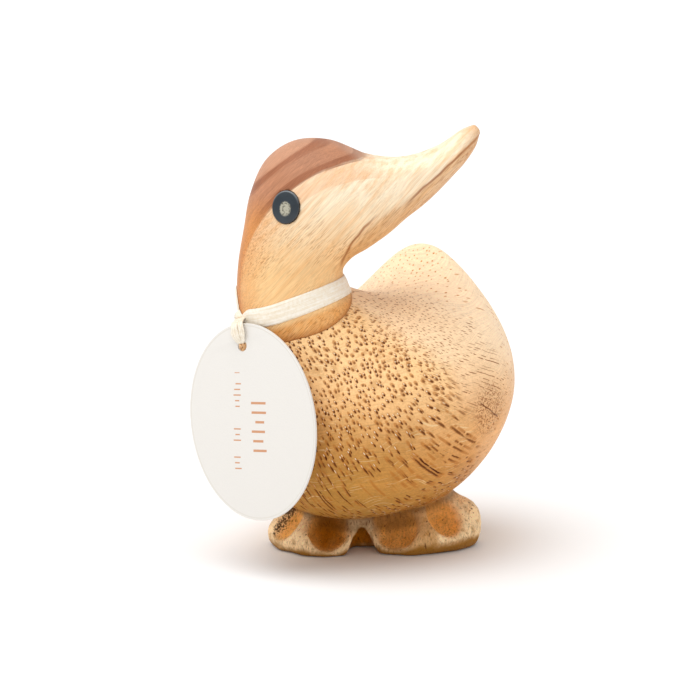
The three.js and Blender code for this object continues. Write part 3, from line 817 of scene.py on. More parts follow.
def head_mesh():
    """Closed loft of neck, head and bill, its foot fitted on the torso."""
    angle = 2 * math.pi * np.arange(HEAD_SEGMENTS) / HEAD_SEGMENTS
    foot = neck_foot(angle)
    rings = [head_place(head_skin(foot, angle, -SEAM["rim"]))]
    for share in np.linspace(0, 1, HEAD_RINGS):
        start = foot + SEAM["rise"]
        rings.append(head_place(head_skin(start + (1 - start) * share, angle, 0)))
    rim = rings[0]
    middle = rim.mean(0)
    inner = []
    for share in np.linspace(0, 1, SEAM["rings"] + 1)[1:]:
        inner.append(settle(torso_field, middle + (rim - middle) * share, SEAM["gap"]))
    last = rings[-1]
    end = last.mean(0)
    normal = np.cross(last[HEAD_SEGMENTS // 4] - last[0], last[HEAD_SEGMENTS // 2] - last[0])
    normal = normal / np.linalg.norm(normal)
    outward = normal * np.sign(normal @ (end - rings[-2].mean(0)))
    for step in range(1, BILL_END["rings"]):
        turn = math.pi / 2 * step / BILL_END["rings"]
        closing = end + (last - end) * math.cos(turn)
        rings.append(closing + outward * BILL_END["reach"] * math.sin(turn))
    centre = settle(torso_field, middle[None, :], SEAM["gap"])
    points = np.vstack([centre, *inner, *rings[1:], (end + outward * BILL_END["reach"])[None, :]])
    count = (len(points) - 2) // HEAD_SEGMENTS
    made = mesh_object("duck_head", points, capped_rings(count, HEAD_SEGMENTS))
    store(made, "seam", np.clip(1 - torso_field(points) / NECK_FOOT["seam"], 0, 1))
    return made


def cheek_frame(side):
    """Place on a cheek, and its directions across, upward and out of the wood as the rows of a 3 by 3 matrix.
    """
    along, angle = np.meshgrid(
        np.linspace(*CHEEK_ALONG, CHEEK_STEPS[0]),
        np.linspace(CHEEK_RIM, math.pi - CHEEK_RIM, CHEEK_STEPS[1]),
    )
    skin = head_skin(along, angle, 0)
    miss = np.hypot(skin[..., 0] - EYE_PLACE["forward"], skin[..., 2] - EYE_PLACE["height"])
    best = np.unravel_index(miss.argmin(), miss.shape)
    along, angle, centre = along[best], angle[best], skin[best]
    lengthways = (head_skin(along + CHEEK_REACH["along"], angle, 0)
                  - head_skin(along - CHEEK_REACH["along"], angle, 0))
    around = (head_skin(along, angle + CHEEK_REACH["turn"], 0)
              - head_skin(along, angle - CHEEK_REACH["turn"], 0))
    out = np.cross(around, lengthways)
    out = out / np.linalg.norm(out)
    out = out * -np.sign(out[1])
    across = np.cross(UP, out)
    across = across / np.linalg.norm(across)
    upward = np.cross(out, across)
    if side == LEFT:
        flip = np.array([1.0, -1.0, 1.0])
        centre, across, upward, out = centre * flip, -across * flip, upward * flip, out * flip
    return head_place(centre[None, :])[0], np.stack([across, upward, out]) @ turn_matrix((0, 0, HEAD_TURN)).T


def eye_mesh(name, side, gap):
    """Slightly domed disc with a rounded rim, oval in height, or its pocket when grown by a gap."""
    radius = EYE["radius"] + gap
    top = EYE["proud"] + gap
    low = EYE["proud"] - EYE["depth"] - gap
    brim = top - EYE["crown"]
    profile = [(0, low), (radius - EYE["edge"], low), (radius, low + EYE["edge"])]
    for step in range(EDGE_RINGS + 1):
        turn = math.pi / 2 * step / EDGE_RINGS
        reach = radius - EYE["edge"] * (1 - math.cos(turn))
        profile.append((reach, brim - EYE["edge"] * (1 - math.sin(turn))))
    face = radius - EYE["edge"]
    for step in range(1, EYE_RINGS + 1):
        share = 1 - step / EYE_RINGS
        profile.append((face * share, brim + EYE["crown"] * (1 - share**2)))
    turns = 2 * math.pi * np.arange(EYE_SEGMENTS) / EYE_SEGMENTS
    centre, axes = cheek_frame(side)
    rings = []
    for reach, height in profile[1:-1]:
        rings.append(np.stack([reach * np.cos(turns), EYE["stretch"] * reach * np.sin(turns),
                               np.full(EYE_SEGMENTS, height)], 1))
    ends = [np.array([[0, 0, profile[0][1]]]), np.array([[0, 0, profile[-1][1]]])]
    points = centre + np.vstack([ends[0], *rings, ends[1]]) @ axes
    faces = capped_rings(len(rings), EYE_SEGMENTS)
    if side == LEFT:
        faces = [face[::-1] for face in faces]
    return mesh_object(name, points, faces)


def make_head(material):
    made = head_mesh()
    for side in (RIGHT, LEFT):
        pocket = eye_mesh("eye_pocket", side, EYE_FIT)
        cut = made.modifiers.new("pocket", "BOOLEAN")
        cut.object = pocket
        cut.solver = "EXACT"
        baked(made)
        bpy.data.objects.remove(pocket)
    made.data.shade_smooth()
    return finish_piece(made, ["head"], material)


def make_eye(name, node, side, material):
    return finish_piece(eye_mesh(name, side, 0), [node], material)


def ribbon_up():
    """Direction square to the tilted ribbon's plane, in the head's frame."""
    return turn_matrix((RIBBON["lift"], 0, 0)) @ turn_matrix((0, RIBBON["tilt"], 0)) @ UP


def ribbon_level(points):
    """Height of points of the head's frame over the middle plane of the tilted ribbon."""
    return (points - np.array([0, 0, RIBBON["height"]])) @ ribbon_up()


def ribbon_skin(angle, level, offset):
    """Points over the neck's skin at a level of the ribbon."""
    low = np.zeros(np.broadcast(angle, level).shape)
    high = np.full_like(low, RIBBON["search"])
    for _ in range(BISECTIONS):
        middle = (low + high) / 2
        under = ribbon_level(head_skin(middle, angle, offset)) < level
        low = np.where(under, middle, low)
        high = np.where(under, high, middle)
    return head_place(head_skin(high, angle, offset))


def ease(value, start, end):
    share = np.clip((value - start) / (end - start), 0, 1)
    return share * share * (3 - 2 * share)


def ribbon_band():
    """Closed band of satin round the neck, narrow at the knot and raised round the nape behind it."""
    angle = 2 * math.pi * np.arange(RIBBON_SEGMENTS) / RIBBON_SEGMENTS
    ahead = np.where(angle < math.pi, angle, angle - 2 * math.pi) - KNOT["angle"]
    spread = np.where(ahead > 0, ease(ahead, 0, RIBBON_PINCH["near"]), ease(-ahead, *RIBBON_PINCH["far"]))
    width = RIBBON_PINCH["width"] + (RIBBON["width"] - RIBBON_PINCH["width"]) * spread
    back = np.abs(np.cos(angle)) ** (2 / HEAD_ROUNDNESS)
    back_at_knot = math.cos(KNOT["angle"]) ** (2 / HEAD_ROUNDNESS)
    climbed = np.where(ahead > 0, 0, np.clip((back - back_at_knot) / (1 - back_at_knot), 0, 1))
    climbed = np.where(angle < math.pi, climbed, 1 - ease(2 * math.pi - angle, *RIBBON_RISE["fall"]))
    rise = RIBBON_RISE["height"] * climbed
    rise = rise + RIBBON_RISE["knot"] * (1 - ease(np.abs(ahead), 0, RIBBON_RISE["knot_reach"]))
    centre = ribbon_skin(angle, rise, np.full_like(rise, RIBBON["clear"]))
    step = np.roll(centre, -1, 0) - np.roll(centre, 1, 0)
    climb = np.linalg.norm(step, axis=1) / np.linalg.norm(step[:, :2], axis=1)
    width = width * np.minimum(climb, RIBBON_RISE["climb"])
    share = np.linspace(-0.5, 0.5, RIBBON_COLUMNS)
    level = rise[:, None] + width[:, None] * share[None, :]
    crown = RIBBON["thickness"] * (1 - (2 * np.abs(share)) ** RIBBON["edge"] * RIBBON["edge_thin"])
    angles = np.broadcast_to(angle[:, None], level.shape)
    outer = ribbon_skin(angles, level, RIBBON["clear"] + crown[None, :])
    inner = ribbon_skin(angles, level, np.full_like(level, RIBBON["clear"]))
    section = np.concatenate([outer, inner[:, ::-1]], 1)
    around = section.shape[1]
    faces = stitch_rings(RIBBON_SEGMENTS, around)
    last = (RIBBON_SEGMENTS - 1) * around
    for place in range(around):
        after = (place + 1) % around
        faces.append((last + place, last + after, after, place))
    made = mesh_object("ribbon_band", section.reshape(-1, 3), faces)
    across = np.concatenate([share, share[::-1]])
    store(made, "across", np.tile(across, RIBBON_SEGMENTS))
    store(made, "around", np.repeat(angle / (2 * math.pi), around))
    return made


def knot_centre():
    return head_place(np.array([[KNOT["forward"], -KNOT["side"], KNOT["height"]]]))[0]


def ribbon_knot():
    """Small tight knot with the folds of the satin running round it."""
    ball = bmesh.new()
    bmesh.ops.create_icosphere(ball, subdivisions=KNOT_DETAIL, radius=1)
    points = np.array([vertex.co[:] for vertex in ball.verts])
    faces = [[vertex.index for vertex in face.verts] for face in ball.faces]
    ball.free()
    turn = np.arctan2(points[:, 2], points[:, 1])
    fold = KNOT["fold"] * np.sin(KNOT["folds"] * turn + KNOT["twist"] * points[:, 0])
    points = points * (1 + fold[:, None]) * np.array(KNOT["radii"])
    points = points @ turn_matrix((0, 0, HEAD_TURN)).T + knot_centre()
    made = mesh_object("ribbon_knot", points, faces)
    store(made, "across", fold)
    store(made, "around", np.zeros(len(points)))
    return made


def tag_axes():
    """The card's directions across, along and out of its face."""
    leaning = turn_matrix((90 - TAG_LEAN, 0, 0)) @ turn_matrix((0, 0, TAG_SWING))
    return leaning.T


def tag_point(across, along, out):
    return np.array(TAG_CENTRE) + np.stack([across, along, out], -1) @ tag_axes()


def loop_line():
    """Line of the ribbon's short loop, from the knot through the card's hole and back, with its width."""
    hole_across, hole_along = TAG["hole_place"]
    stops = [knot_centre()]
    widths = [LOOP_STOPS[0]["width"]]
    for stop in LOOP_STOPS:
        stops.append(tag_point(hole_across + stop["across"], hole_along + stop["rise"], stop["depth"]))
        widths.append(stop["width"])
    stops.append(knot_centre())
    widths.append(LOOP_STOPS[0]["width"])
    along = np.linspace(0, 1, LOOP_STEPS)
    line = smooth_curve(stops, along)
    return line, np.interp(along, np.linspace(0, 1, len(widths)), widths)


def lay_strands(made, material):
    """Turns a line into a bundle of loose strands, spread over its stored width."""
    relief = Relief("strand_bundle", strands="Int", strand_radius="Float", bundle_thickness="Float",
                    wander="Float", across="Vector", out="Vector", seed="Int", material="Material")
    given = relief.given
    line = relief.node("GeometryNodeMeshToCurve", None, {0: relief.geometry})
    copies = relief.node("GeometryNodeDuplicateElements", {"domain": "SPLINE"},
                         {0: line, "Amount": given["strands"]})
    index = copies.other("Duplicate Index")

    def random_share(step):
        values = {"Min": -0.5, "Max": 0.5, "ID": index, "Seed": given["seed"] + step}
        return relief.node("FunctionNodeRandomValue", {"data_type": "FLOAT"}, values, 1)

    sideways = relief.scaled(given["across"], random_share(0) * relief.attribute("width"))
    outward = relief.scaled(given["out"], random_share(1) * given["bundle_thickness"])
    apart = relief.vector("ADD", relief.node("GeometryNodeInputPosition"), relief.join(index, index, index))
    level = relief.vector("SUBTRACT", relief.noise(apart, WANDER_SIZE * MM, PLAIN, 1), (0.5, 0.5, 0.5))
    offset = relief.vector("ADD", sideways, outward)
    offset = relief.vector("ADD", offset, relief.scaled(level, given["wander"]))
    loose = relief.node("GeometryNodeSetPosition", None, {"Geometry": copies, "Offset": offset})
    ring = relief.node("GeometryNodeCurvePrimitiveCircle", None,
                       {"Resolution": STRAND["sides"], "Radius": given["strand_radius"]})
    values = {"Curve": loose, "Profile Curve": ring, "Fill Caps": True}
    relief.finish(relief.node("GeometryNodeCurveToMesh", None, values))
    across, _, out = tag_axes()
    relief.apply(made, strands=STRAND["count"], strand_radius=STRAND["radius"] * MM,
                 bundle_thickness=STRAND["spread"] * MM, wander=STRAND["wander"] * MM,
                 across=tuple(across), out=tuple(out), seed=STRAND["seed"], material=material)


def ribbon_loop(material):
    """Loose strands of the ribbon through the hole of the tag."""
    line, width = loop_line()
    made = mesh_object("ribbon_loop", line, (), [(step, step + 1) for step in range(len(line) - 1)])
    store(made, "width", (width - 2 * STRAND["radius"]) * MM)
    lay_strands(made, material)
    return made


def keep_off(made, others, gap):
    """Moves a piece's points out of its neighbours, to a gap over their surface."""
    for other in others:
        tree = BVHTree.FromObject(other, bpy.context.evaluated_depsgraph_get())
        for vertex in made.data.vertices:
            near, normal, _, distance = tree.find_nearest(vertex.co)
            if distance < KEEP_REACH * MM and (vertex.co - near).dot(normal) < gap * MM:
                vertex.co = near + normal * gap * MM


def make_ribbon(neighbours, material):
    band = ribbon_band()
    knot = ribbon_knot()
    loop = ribbon_loop(material)
    for part in (knot, loop):
        keep_off(part, neighbours, RIBBON["clear"])
    return [finish_piece(part, ["ribbon"], material) for part in (band, knot, loop)]


def make_tag(material):
    """Oval card with a softly cut edge and a punched hole."""
    card = bpy.data.curves.new("name_tag_outline", "CURVE")
    card.dimensions = "2D"
    card.fill_mode = "BOTH"
    card.extrude = (TAG["thickness"] / 2 - TAG["bevel"]) * MM
    card.bevel_depth = TAG["bevel"] * MM
    card.bevel_resolution = TAG_EDGE_DETAIL
    hole = (*TAG["hole_place"], TAG["hole"] + TAG["bevel"], TAG["hole"] + TAG["bevel"], HOLE_SEGMENTS)
    oval = (0, 0, TAG["wide"] / 2 - TAG["bevel"], TAG["long"] / 2 - TAG["bevel"], TAG_SEGMENTS)
    for x, y, half_wide, half_long, count in (oval, hole):
        spline = card.splines.new("POLY")
        spline.points.add(count - 1)
        spline.use_cyclic_u = True
        for place, point in enumerate(spline.points):
            turn = 2 * math.pi * place / count
            point.co = ((x + half_wide * math.cos(turn)) * MM, (y + half_long * math.sin(turn)) * MM, 0, 1)
    outline = bpy.data.objects.new("name_tag_outline", card)
    bpy.context.scene.collection.objects.link(outline)
    made = baked(outline)
    made.name = "name_tag_card"
    for vertex in made.data.vertices:
        across, along, out = (length / MM for length in vertex.co)
        vertex.co = Vector(tag_point(across, along, out)) * MM
    clean(made)
    made.data.shade_smooth()
    made.data.set_sharp_from_angle(angle=math.radians(SHARP_ANGLE))
    return finish_piece(made, ["name_tag"], material)


def clean(made):
    """Merges doubled points and turns every face outwards."""
    mesh = bmesh.new()
    mesh.from_mesh(made.data)
    bmesh.ops.remove_doubles(mesh, verts=mesh.verts, dist=MERGE_REACH * MM)
    bmesh.ops.recalc_face_normals(mesh, faces=mesh.faces)
    mesh.to_mesh(made.data)
    mesh.free()


def plain(name, text, roughness):
    paint = Paint(name, Base_Color=colour(text), Roughness=roughness)
    return paint.material


def follow_tubes(board, place):
    """Places sideways and upwards across the root's tubes, how far along them, and how steep they are.

    The tubes drift a little on their way, and drop from the breast to the back, more so under the belly.
    """
    drifted = board.drift(place, GRAIN_DRIFT["size"], GRAIN_DRIFT["reach"])
    _, back, height = board.parts(drifted)
    low = board.maths("MINIMUM", height, GRAIN["bend_top"])
    bent = (height * 2 - low) * low * GRAIN["bend"]
    upward = (back + height * GRAIN["slope"] + bent) / GRAIN["close"]
    steep = low * (2 * GRAIN["bend"]) + GRAIN["slope"]
    return board.along(drifted, GRAIN["side"]), upward, height - back, steep


def leaning(board, sideways, upward, lean):
    """The place across the tubes, turned by the lean of a layer's pores."""
    turn = math.radians(lean)
    return board.join(sideways * math.cos(turn) + upward * math.sin(turn),
                      upward * math.cos(turn) - sideways * math.sin(turn))


def cut_lengthways(board, steep):
    """1 where the skin is cut along the tubes, 0 where it is cut across them."""
    _, back, up = board.parts(board.facing())
    across = board.maths("ABSOLUTE", up - back * steep) / board.maths("SQRT", steep * steep + 1)
    return 1 - board.ease(across, *LENGTHWAYS["from"])


def pores(board, flat, far, lengthways, layer):
    """Hollows of a layer of cut tubes, 0 at the skin and 1 inside and set off towards their deep side as
    painted shade, their brown rings, and their lips lit as painted highlights.

    Where the skin is cut along the tubes, they show as short broken streaks.
    """
    wide, tall = layer["pitch"]
    grid = board.vector("MULTIPLY", flat, (1 / wide, 1 / tall, 0))
    cell = board.node("ShaderNodeTexVoronoi", {"voronoi_dimensions": "2D"},
                      {"Vector": grid, "Scale": 1.0, "Randomness": layer["scatter"]}, "Position")
    size, chance, tone = board.parts(cell.other("Color"))
    middle = board.vector("MULTIPLY", cell, (wide, tall, 0))
    offset = board.vector("MULTIPLY", board.vector("SUBTRACT", flat, middle), (1, 1 / layer["long"], 0))
    present = board.maths("GREATER_THAN", chance, layer["missing"])
    spot = board.join(chance * LENGTHWAYS["apart"], tone * LENGTHWAYS["apart"], far / layer["break"])
    broken = 1 - board.ease(board.noise(spot, detail=FLAT), *LENGTHWAYS["shown"])
    present = present * (1 - broken * lengthways)
    radius = size * layer["vary"] + layer["radius"]
    reach = board.length(board.vector("SUBTRACT", offset, PORE_SHADE_SHIFT)) / radius
    hollow = 1 - board.ease(reach, layer["soft"], 1.0)
    ring = 1 - board.ease(board.length(offset) / radius, *PORE_RING)
    lit = board.length(board.vector("SUBTRACT", offset, LIP_HIGHLIGHT["shift"]))
    lip = (1 - board.ease(lit, LIP_HIGHLIGHT["sharp"], LIP_HIGHLIGHT["radius"])) * board.ease(tone, *LIP_HIGHLIGHT["share"])
    return hollow * present * (tone * PORE_VARY + (1 - PORE_VARY)), ring * present, lip * present


def front_line(board, place):
    """Millimetres behind the ragged line where the large pores of the breast begin to fade."""
    ragged = (board.noise(place, FRONT["ragged_size"]) - 0.5) * FRONT["ragged"]
    above = board.along(place, UP) - FRONT["height"]
    under = board.maths("MINIMUM", above, 0.0) * FRONT["low_slope"]
    return board.along(place, (0, 1, 0)) + above * FRONT["slope"] + under + ragged


def root_pores(board, place):
    """The large pores of the breast and belly with the painted highlights on their lips, and the finer pores
    behind them.
    """
    sideways, upward, far, steep = follow_tubes(board, place)
    behind = front_line(board, place)
    front = 1 - board.ease(behind, *FRONT["fade"])
    band = board.between(behind, *BAND["reach"], BAND["edge"])
    band = band * board.ease(board.along(place, UP), *BAND["rise"])
    lengthways = cut_lengthways(board, steep)
    found = {}
    for name, layer in PORE_LAYERS.items():
        flat = leaning(board, sideways, upward, layer["lean"])
        found[name], ring, lip = pores(board, flat, far, lengthways, layer)
        if name == "large":
            found.update(ring=ring * front, lip=lip * (1 - lengthways) * front)
    found["large"] = found["large"] * front
    return {**found, "sideways": sideways, "upward": upward, "far": far, "behind": behind, "front": front,
            "band": band}


def root_ground(paint, place, wood, shades, cloud):
    """The root's colour before its pores: honey in front, cream at the tail, lighter higher up and olive
    brown low down, partly its own tone and partly painted light and shade.
    """
    height = paint.along(place, UP)
    hue = paint.mix(paint.ease(height, *FLANK_TONE_AND_LIGHT_FADE), shades["flank"], shades["back"])
    tail = paint.ease(wood["behind"], *TAIL_FADE) * paint.ease(height, *TAIL_RISE)
    hue = paint.mix(tail, hue, shades["tail"])
    breast = paint.mix(paint.ease(height, *BREAST_TONE_AND_LIGHT_FADE), shades["belly"], shades["front"])
    hue = paint.mix(wood["front"], hue, breast)
    # Painted shade together with the root's olive brown: darker low down, reaching higher towards the breast
    shaded = height + (cloud - 0.5) * CLOUD["reach"] + paint.along(place, (0, LOW_OLIVE_AND_SHADE_SLOPE, 0))
    hue = paint.mix(1 - paint.ease(shaded, *LOW_OLIVE_AND_SHADE_FADE), hue, shades["low"])
    smudge = paint.ease(paint.noise(place, SMUDGE["size"], ROUGH), *SMUDGE["from"]) * SMUDGE["share"]
    shown = wood["front"] * (1 - SMUDGE["behind"]) + SMUDGE["behind"]
    return paint.mix(smudge * shown, hue, shades["smudge"])


def pore_colours(paint, hue, wood, small, shades):
    """Adds the pale pores of the tail, the small pores, and the large ones with their rings, their painted
    shade and the painted highlights on their lips.
    """
    pale = wood["pale"] * (1 - wood["front"]) * (1 - wood["band"])
    hue = paint.mix(pale, hue, shades["pale_pore"])
    hue = paint.mix(small, hue, shades["small_pore"])
    hue = paint.mix(wood["ring"] * RING_SHARE, hue, shades["ring"])
    hue = paint.mix(wood["large"], hue, shades["pore"])
    return paint.mix(wood["lip"] * LIP_HIGHLIGHT["strength"], hue, shades["lip"])


def root_wood():
    """Bamboo root of torso and feet, with its pores, streaks, sanding marks and crack."""
    paint = Paint("bamboo_root", Coat_Weight=ROOT_SHEEN["coat"], Coat_Roughness=ROOT_SHEEN["coat_rough"],
                  Specular_IOR_Level=ROOT_SHEEN["gloss"])
    place = paint.place()
    shades = {name: colour(text) for name, text in ROOT_COLOURS.items()}
    wood = root_pores(paint, place)
    cloud = paint.noise(place, CLOUD["size"], ROUGH)
    hue = root_ground(paint, place, wood, shades, cloud)
    stripe = tube_stripe(paint, wood)
    sanded = sanding_marks(paint, place, SANDING)
    grit = paint.noise(place, GRIT["size"], ROUGH) - 0.5
    tone = (stripe - 0.5) * STRIPE["strength"] + (sanded - 0.5) * SANDING["strength"]
    tone = tone + (cloud - 0.5) * CLOUD["strength"] + grit * GRIT["strength"]
    hue = paint.shade(hue, 1 + tone)
    scratch = paint.ease(sanding_marks(paint, place, SCRATCH), *SCRATCH["from"]) * SCRATCH["share"]
    hue = paint.mix(scratch, hue, shades["scratch"])
    small = paint.maths("MAXIMUM", wood["small"] * wood["band"], mottled_patch(paint, place))
    hue = pore_colours(paint, hue, wood, small, shades)
    hue = paint.mix(crack(paint, place), hue, shades["crack"])
    foot = paint.attribute("foot")
    carved, stroke = foot_colour(paint, place, wood)
    paint.feed("Base Color", paint.mix(foot, hue, carved))
    rough = (wood["large"] + small) * ROOT_SHEEN["pore"] + cloud * ROOT_SHEEN["cloud"]
    paint.feed("Roughness", rough + foot * ROOT_SHEEN["foot"] + ROOT_SHEEN["rough"])
    relief = stripe * STRIPE["relief"] + sanded * SANDING["relief"] + scratch * SCRATCH["relief"]
    relief = relief - wood["large"] - small * SMALL_PORE_RELIEF
    rough_cut = paint.noise(place, FOOT["grit"]) * FOOT["grit_relief"] + stroke * FOOT["stroke_relief"]
    paint.bump(relief * (1 - foot) + rough_cut * foot, PORE_DEPTH)
    return paint.material


def tube_stripe(paint, wood):
    """Fine streaks that run along the tubes where the skin is cut along them."""
    across = wood["sideways"] / STRIPE["width"]
    rise = wood["upward"] / STRIPE["width"]
    return paint.noise(paint.join(across, rise, wood["far"] / STRIPE["length"]), detail=ROUGH)


def sanding_marks(paint, place, marks):
    """Noise drawn out into thin marks that curve up to the duck's left."""
    bent = paint.drift(place, marks["bend_size"], marks["bend"])
    level = paint.along(bent, SCRATCH["across"]) / marks["width"]
    far = paint.along(bent, SCRATCH["along"]) / marks["length"]
    near = paint.along(bent, SCRATCH["out"]) / marks["length"]
    return paint.noise(paint.join(level, far, near), detail=SMOOTH)


def mottled_patch(paint, place):
    """A finely speckled patch on the left flank."""
    reach = paint.length(paint.vector("SUBTRACT", place, MOTTLE["centre"]))
    speckle = paint.ease(paint.noise(place, MOTTLE["size"]), *MOTTLE["from"])
    return (1 - paint.ease(reach, *MOTTLE["radius"])) * speckle * MOTTLE["share"]


def crack(paint, place):
    """Short drying crack in the left flank."""
    start, end = (np.array(CRACK[name]) for name in ("start", "end"))
    span = np.linalg.norm(end - start)
    axis = (end - start) / span
    bent = paint.drift(place, CRACK["bend_size"], CRACK["bend"])
    offset = paint.vector("SUBTRACT", paint.vector("MULTIPLY", bent, (0, 1, 1)), tuple(start))
    share = paint.node("ShaderNodeClamp", None, {0: paint.along(offset, axis) / span})
    across = paint.vector("SUBTRACT", offset, paint.scaled(paint.join(*map(float, axis)), share * span))
    flank = paint.ease(paint.along(place, (1, 0, 0)), *CRACK["flank"])
    return (1 - paint.ease(paint.length(across), *CRACK["width"])) * flank * CRACK["share"]


def foot_colour(paint, place, wood):
    """Colour of the feet, and the chisel strokes that show in it."""
    shades = {name: colour(text) for name, text in FOOT_COLOURS.items()}
    cloud = paint.noise(place, FOOT["cloud"], ROUGH) - 0.5
    stroke = chisel_strokes(paint, place)
    hue = foot_ground(paint, place, shades, cloud)
    tone = (paint.noise(place, FOOT["fine"], ROUGHEST) - 0.5) * FOOT["fine_strength"]
    tone = tone + (stroke - 0.5) * FOOT["stroke_strength"]
    tone = tone + (paint.noise(place, FOOT["blotch"], ROUGH) - 0.5) * FOOT["blotch_strength"]
    hue = foot_shadows(paint, paint.shade(hue, 1 + tone), place, shades, cloud)
    return foot_specks(paint, hue, place, shades, wood), stroke


def foot_ground(paint, place, shades, cloud):
    """Pale ridges with a little grime, and orange-brown scoops darkened with depth by painted shade."""
    grime = paint.ease(paint.noise(place, FOOT["grime"], ROUGHEST), *FOOT["grime_from"])
    hue = paint.mix(grime * FOOT["grime_share"], shades["ridge"], shades["grime"])
    hue = paint.mix(paint.attribute("scoop") * FOOT["scoop_share"], hue, shades["scoop"])
    # Painted shade: the scoops darken towards the deep colour as they go deeper
    depth = paint.attribute("depth") + cloud * FOOT["deep_cloud"]
    return paint.mix(paint.ease(depth, *FOOT["deep"]), hue, shades["deep"])


def foot_shadows(paint, hue, place, shades, cloud):
    """Adds the brown facet of the left foot, the olive foot line, and painted shade with some brown in the
    crease under the belly and over the middle of the feet's tops near it.
    """
    sideways = paint.along(place, turn_matrix((0, 0, FEET_TURN))[:, 0])
    facet = paint.between(sideways + cloud * FOOT["deep_cloud"], *FOOT["facet"], FOOT["facet_edge"])
    facet = facet * (1 - paint.attribute("scoop")) * FOOT["facet_share"]
    hue = paint.mix(facet, hue, shades["facet"])
    height = paint.along(place, UP) + cloud * FOOT["sole_ragged"]
    height = height - paint.ease(sideways, *FOOT["sole_side"]) * FOOT["sole_rise"]
    hue = paint.mix(1 - paint.ease(height, *FOOT["sole"]), hue, shades["sole"])
    # Painted shade under the belly, in the crease and over the middle of the feet's tops
    near = paint.attribute("crease")
    crease = paint.ease(near, *FOOT["crease"]) * FOOT["crease_share"]
    hollow = paint.between(sideways, *FOOT["hollow"], FOOT["hollow_edge"])
    hollow = hollow * paint.ease(near, *FOOT["hollow_from"]) * FOOT["hollow_share"]
    return paint.mix(paint.maths("MAXIMUM", crease, hollow), hue, shades["crease"])


def foot_specks(paint, hue, place, shades, wood):
    """Adds the cut tubes and pits as brown specks, and the soot of a scorched edge."""
    patch = paint.ease(paint.noise(place, FOOT["patch"]), *FOOT["patch_from"])
    hue = paint.mix(wood["specks"] * patch * SPECK_SHARE, hue, shades["speck"])
    pit = paint.ease(paint.noise(place, FOOT["pit"]), *FOOT["pit_from"]) * FOOT["pit_share"]
    hue = paint.mix(pit, hue, shades["speck"])
    soot = (paint.noise(place, FOOT["burn"], ROUGH) - 0.5) * FOOT["burn_reach"]
    burn = paint.ease(paint.attribute("burn") + soot, *FOOT["burn_from"])
    return paint.mix(burn * FOOT["burn_share"], hue, shades["burn"])


def chisel_strokes(paint, place):
    """Noise drawn out down the feet, the way the gouge ran."""
    bent = paint.drift(place, FOOT["blotch"], FOOT["stroke_long"])
    turned = turn_matrix((0, 0, FEET_TURN))
    across = paint.along(bent, turned[:, 0]) / FOOT["stroke"]
    inward = paint.along(bent, turned[:, 1]) / FOOT["stroke_long"]
    return paint.noise(paint.join(across, inward, paint.along(bent, UP) / FOOT["stroke_long"]))


def profile_place(paint, place):
    """Place on the head as forward, sideways and height."""
    turned = turn_matrix((0, 0, HEAD_TURN))
    local = paint.vector("SUBTRACT", place, NECK_PLACE)
    return tuple(paint.along(local, turned[:, axis]) for axis in range(3))


def from_point(paint, forward, height, centre):
    """Distance in the profile plane from a point of it."""
    return paint.length(paint.join(forward - centre[0], height - centre[1]))


def head_streaks(paint, forward, side, height, across, along, detail=PLAIN):
    """Noise drawn out along the straight grain of the head."""
    level = forward * HEAD_GRAIN[1] - height * HEAD_GRAIN[0]
    far = forward * HEAD_GRAIN[0] + height * HEAD_GRAIN[1]
    return paint.noise(paint.join(level / across, side / (across * HEAD_DEEP), far / along), detail=detail)


def heart_wood(paint, hue, shades, forward, side, height):
    """Adds the reddish heart of nape and crown, its dark borders, and the blush and pale ring inside it."""
    turn = paint.maths("ARCTAN2", height - HEART["centre"][1], forward - HEART["centre"][0])
    turn = turn * HEART["radius"]
    reach = from_point(paint, forward, height, HEART["centre"]) - HEART["radius"]
    far = side / HEART["layer_long"]
    ragged = paint.noise(paint.join(reach / HEART["layer"], turn / HEART["ragged_size"], far), detail=ROUGH)
    reach = reach + (ragged - 0.5) * HEART["ragged"]
    crown = paint.ease(height, *HEART["crown"])
    behind = 1 - paint.ease(forward + reach * HEART["sweep"], *HEART["front"])
    blush = paint.ease(reach, *HEART["blush"]) * (1 - crown) * HEART["blush_share"]
    hue = paint.mix(blush, hue, shades["blush"])
    ring = paint.between(reach, *PALE_RING["reach"], PALE_RING["edge"])
    ring = ring * paint.ease(height, *PALE_RING["rise"]) * behind
    hue = paint.mix(ring * PALE_RING["share"], hue, shades["ring"])
    layer = paint.join(reach / HEART["layer"], turn / HEART["layer_long"], far)
    tone = (paint.noise(layer, detail=ROUGH) - 0.5) * HEART["layer_strength"]
    red = paint.shade(paint.mix(crown, shades["nape"], shades["crown"]), 1 + tone)
    hue = paint.mix(paint.ease(reach, *HEART["edge"]) * behind, hue, red)
    hue = paint.mix(paint.ease(reach, *HEART["rim"]) * behind * HEART["rim_share"], hue, shades["rim"])
    for name in ("rim_line", "line"):
        line = paint.between(reach, *HEART[name], HEART["line_edge"]) * crown * behind
        hue = paint.mix(line * HEART["line_share"], hue, shades["heart_line"])
    return hue


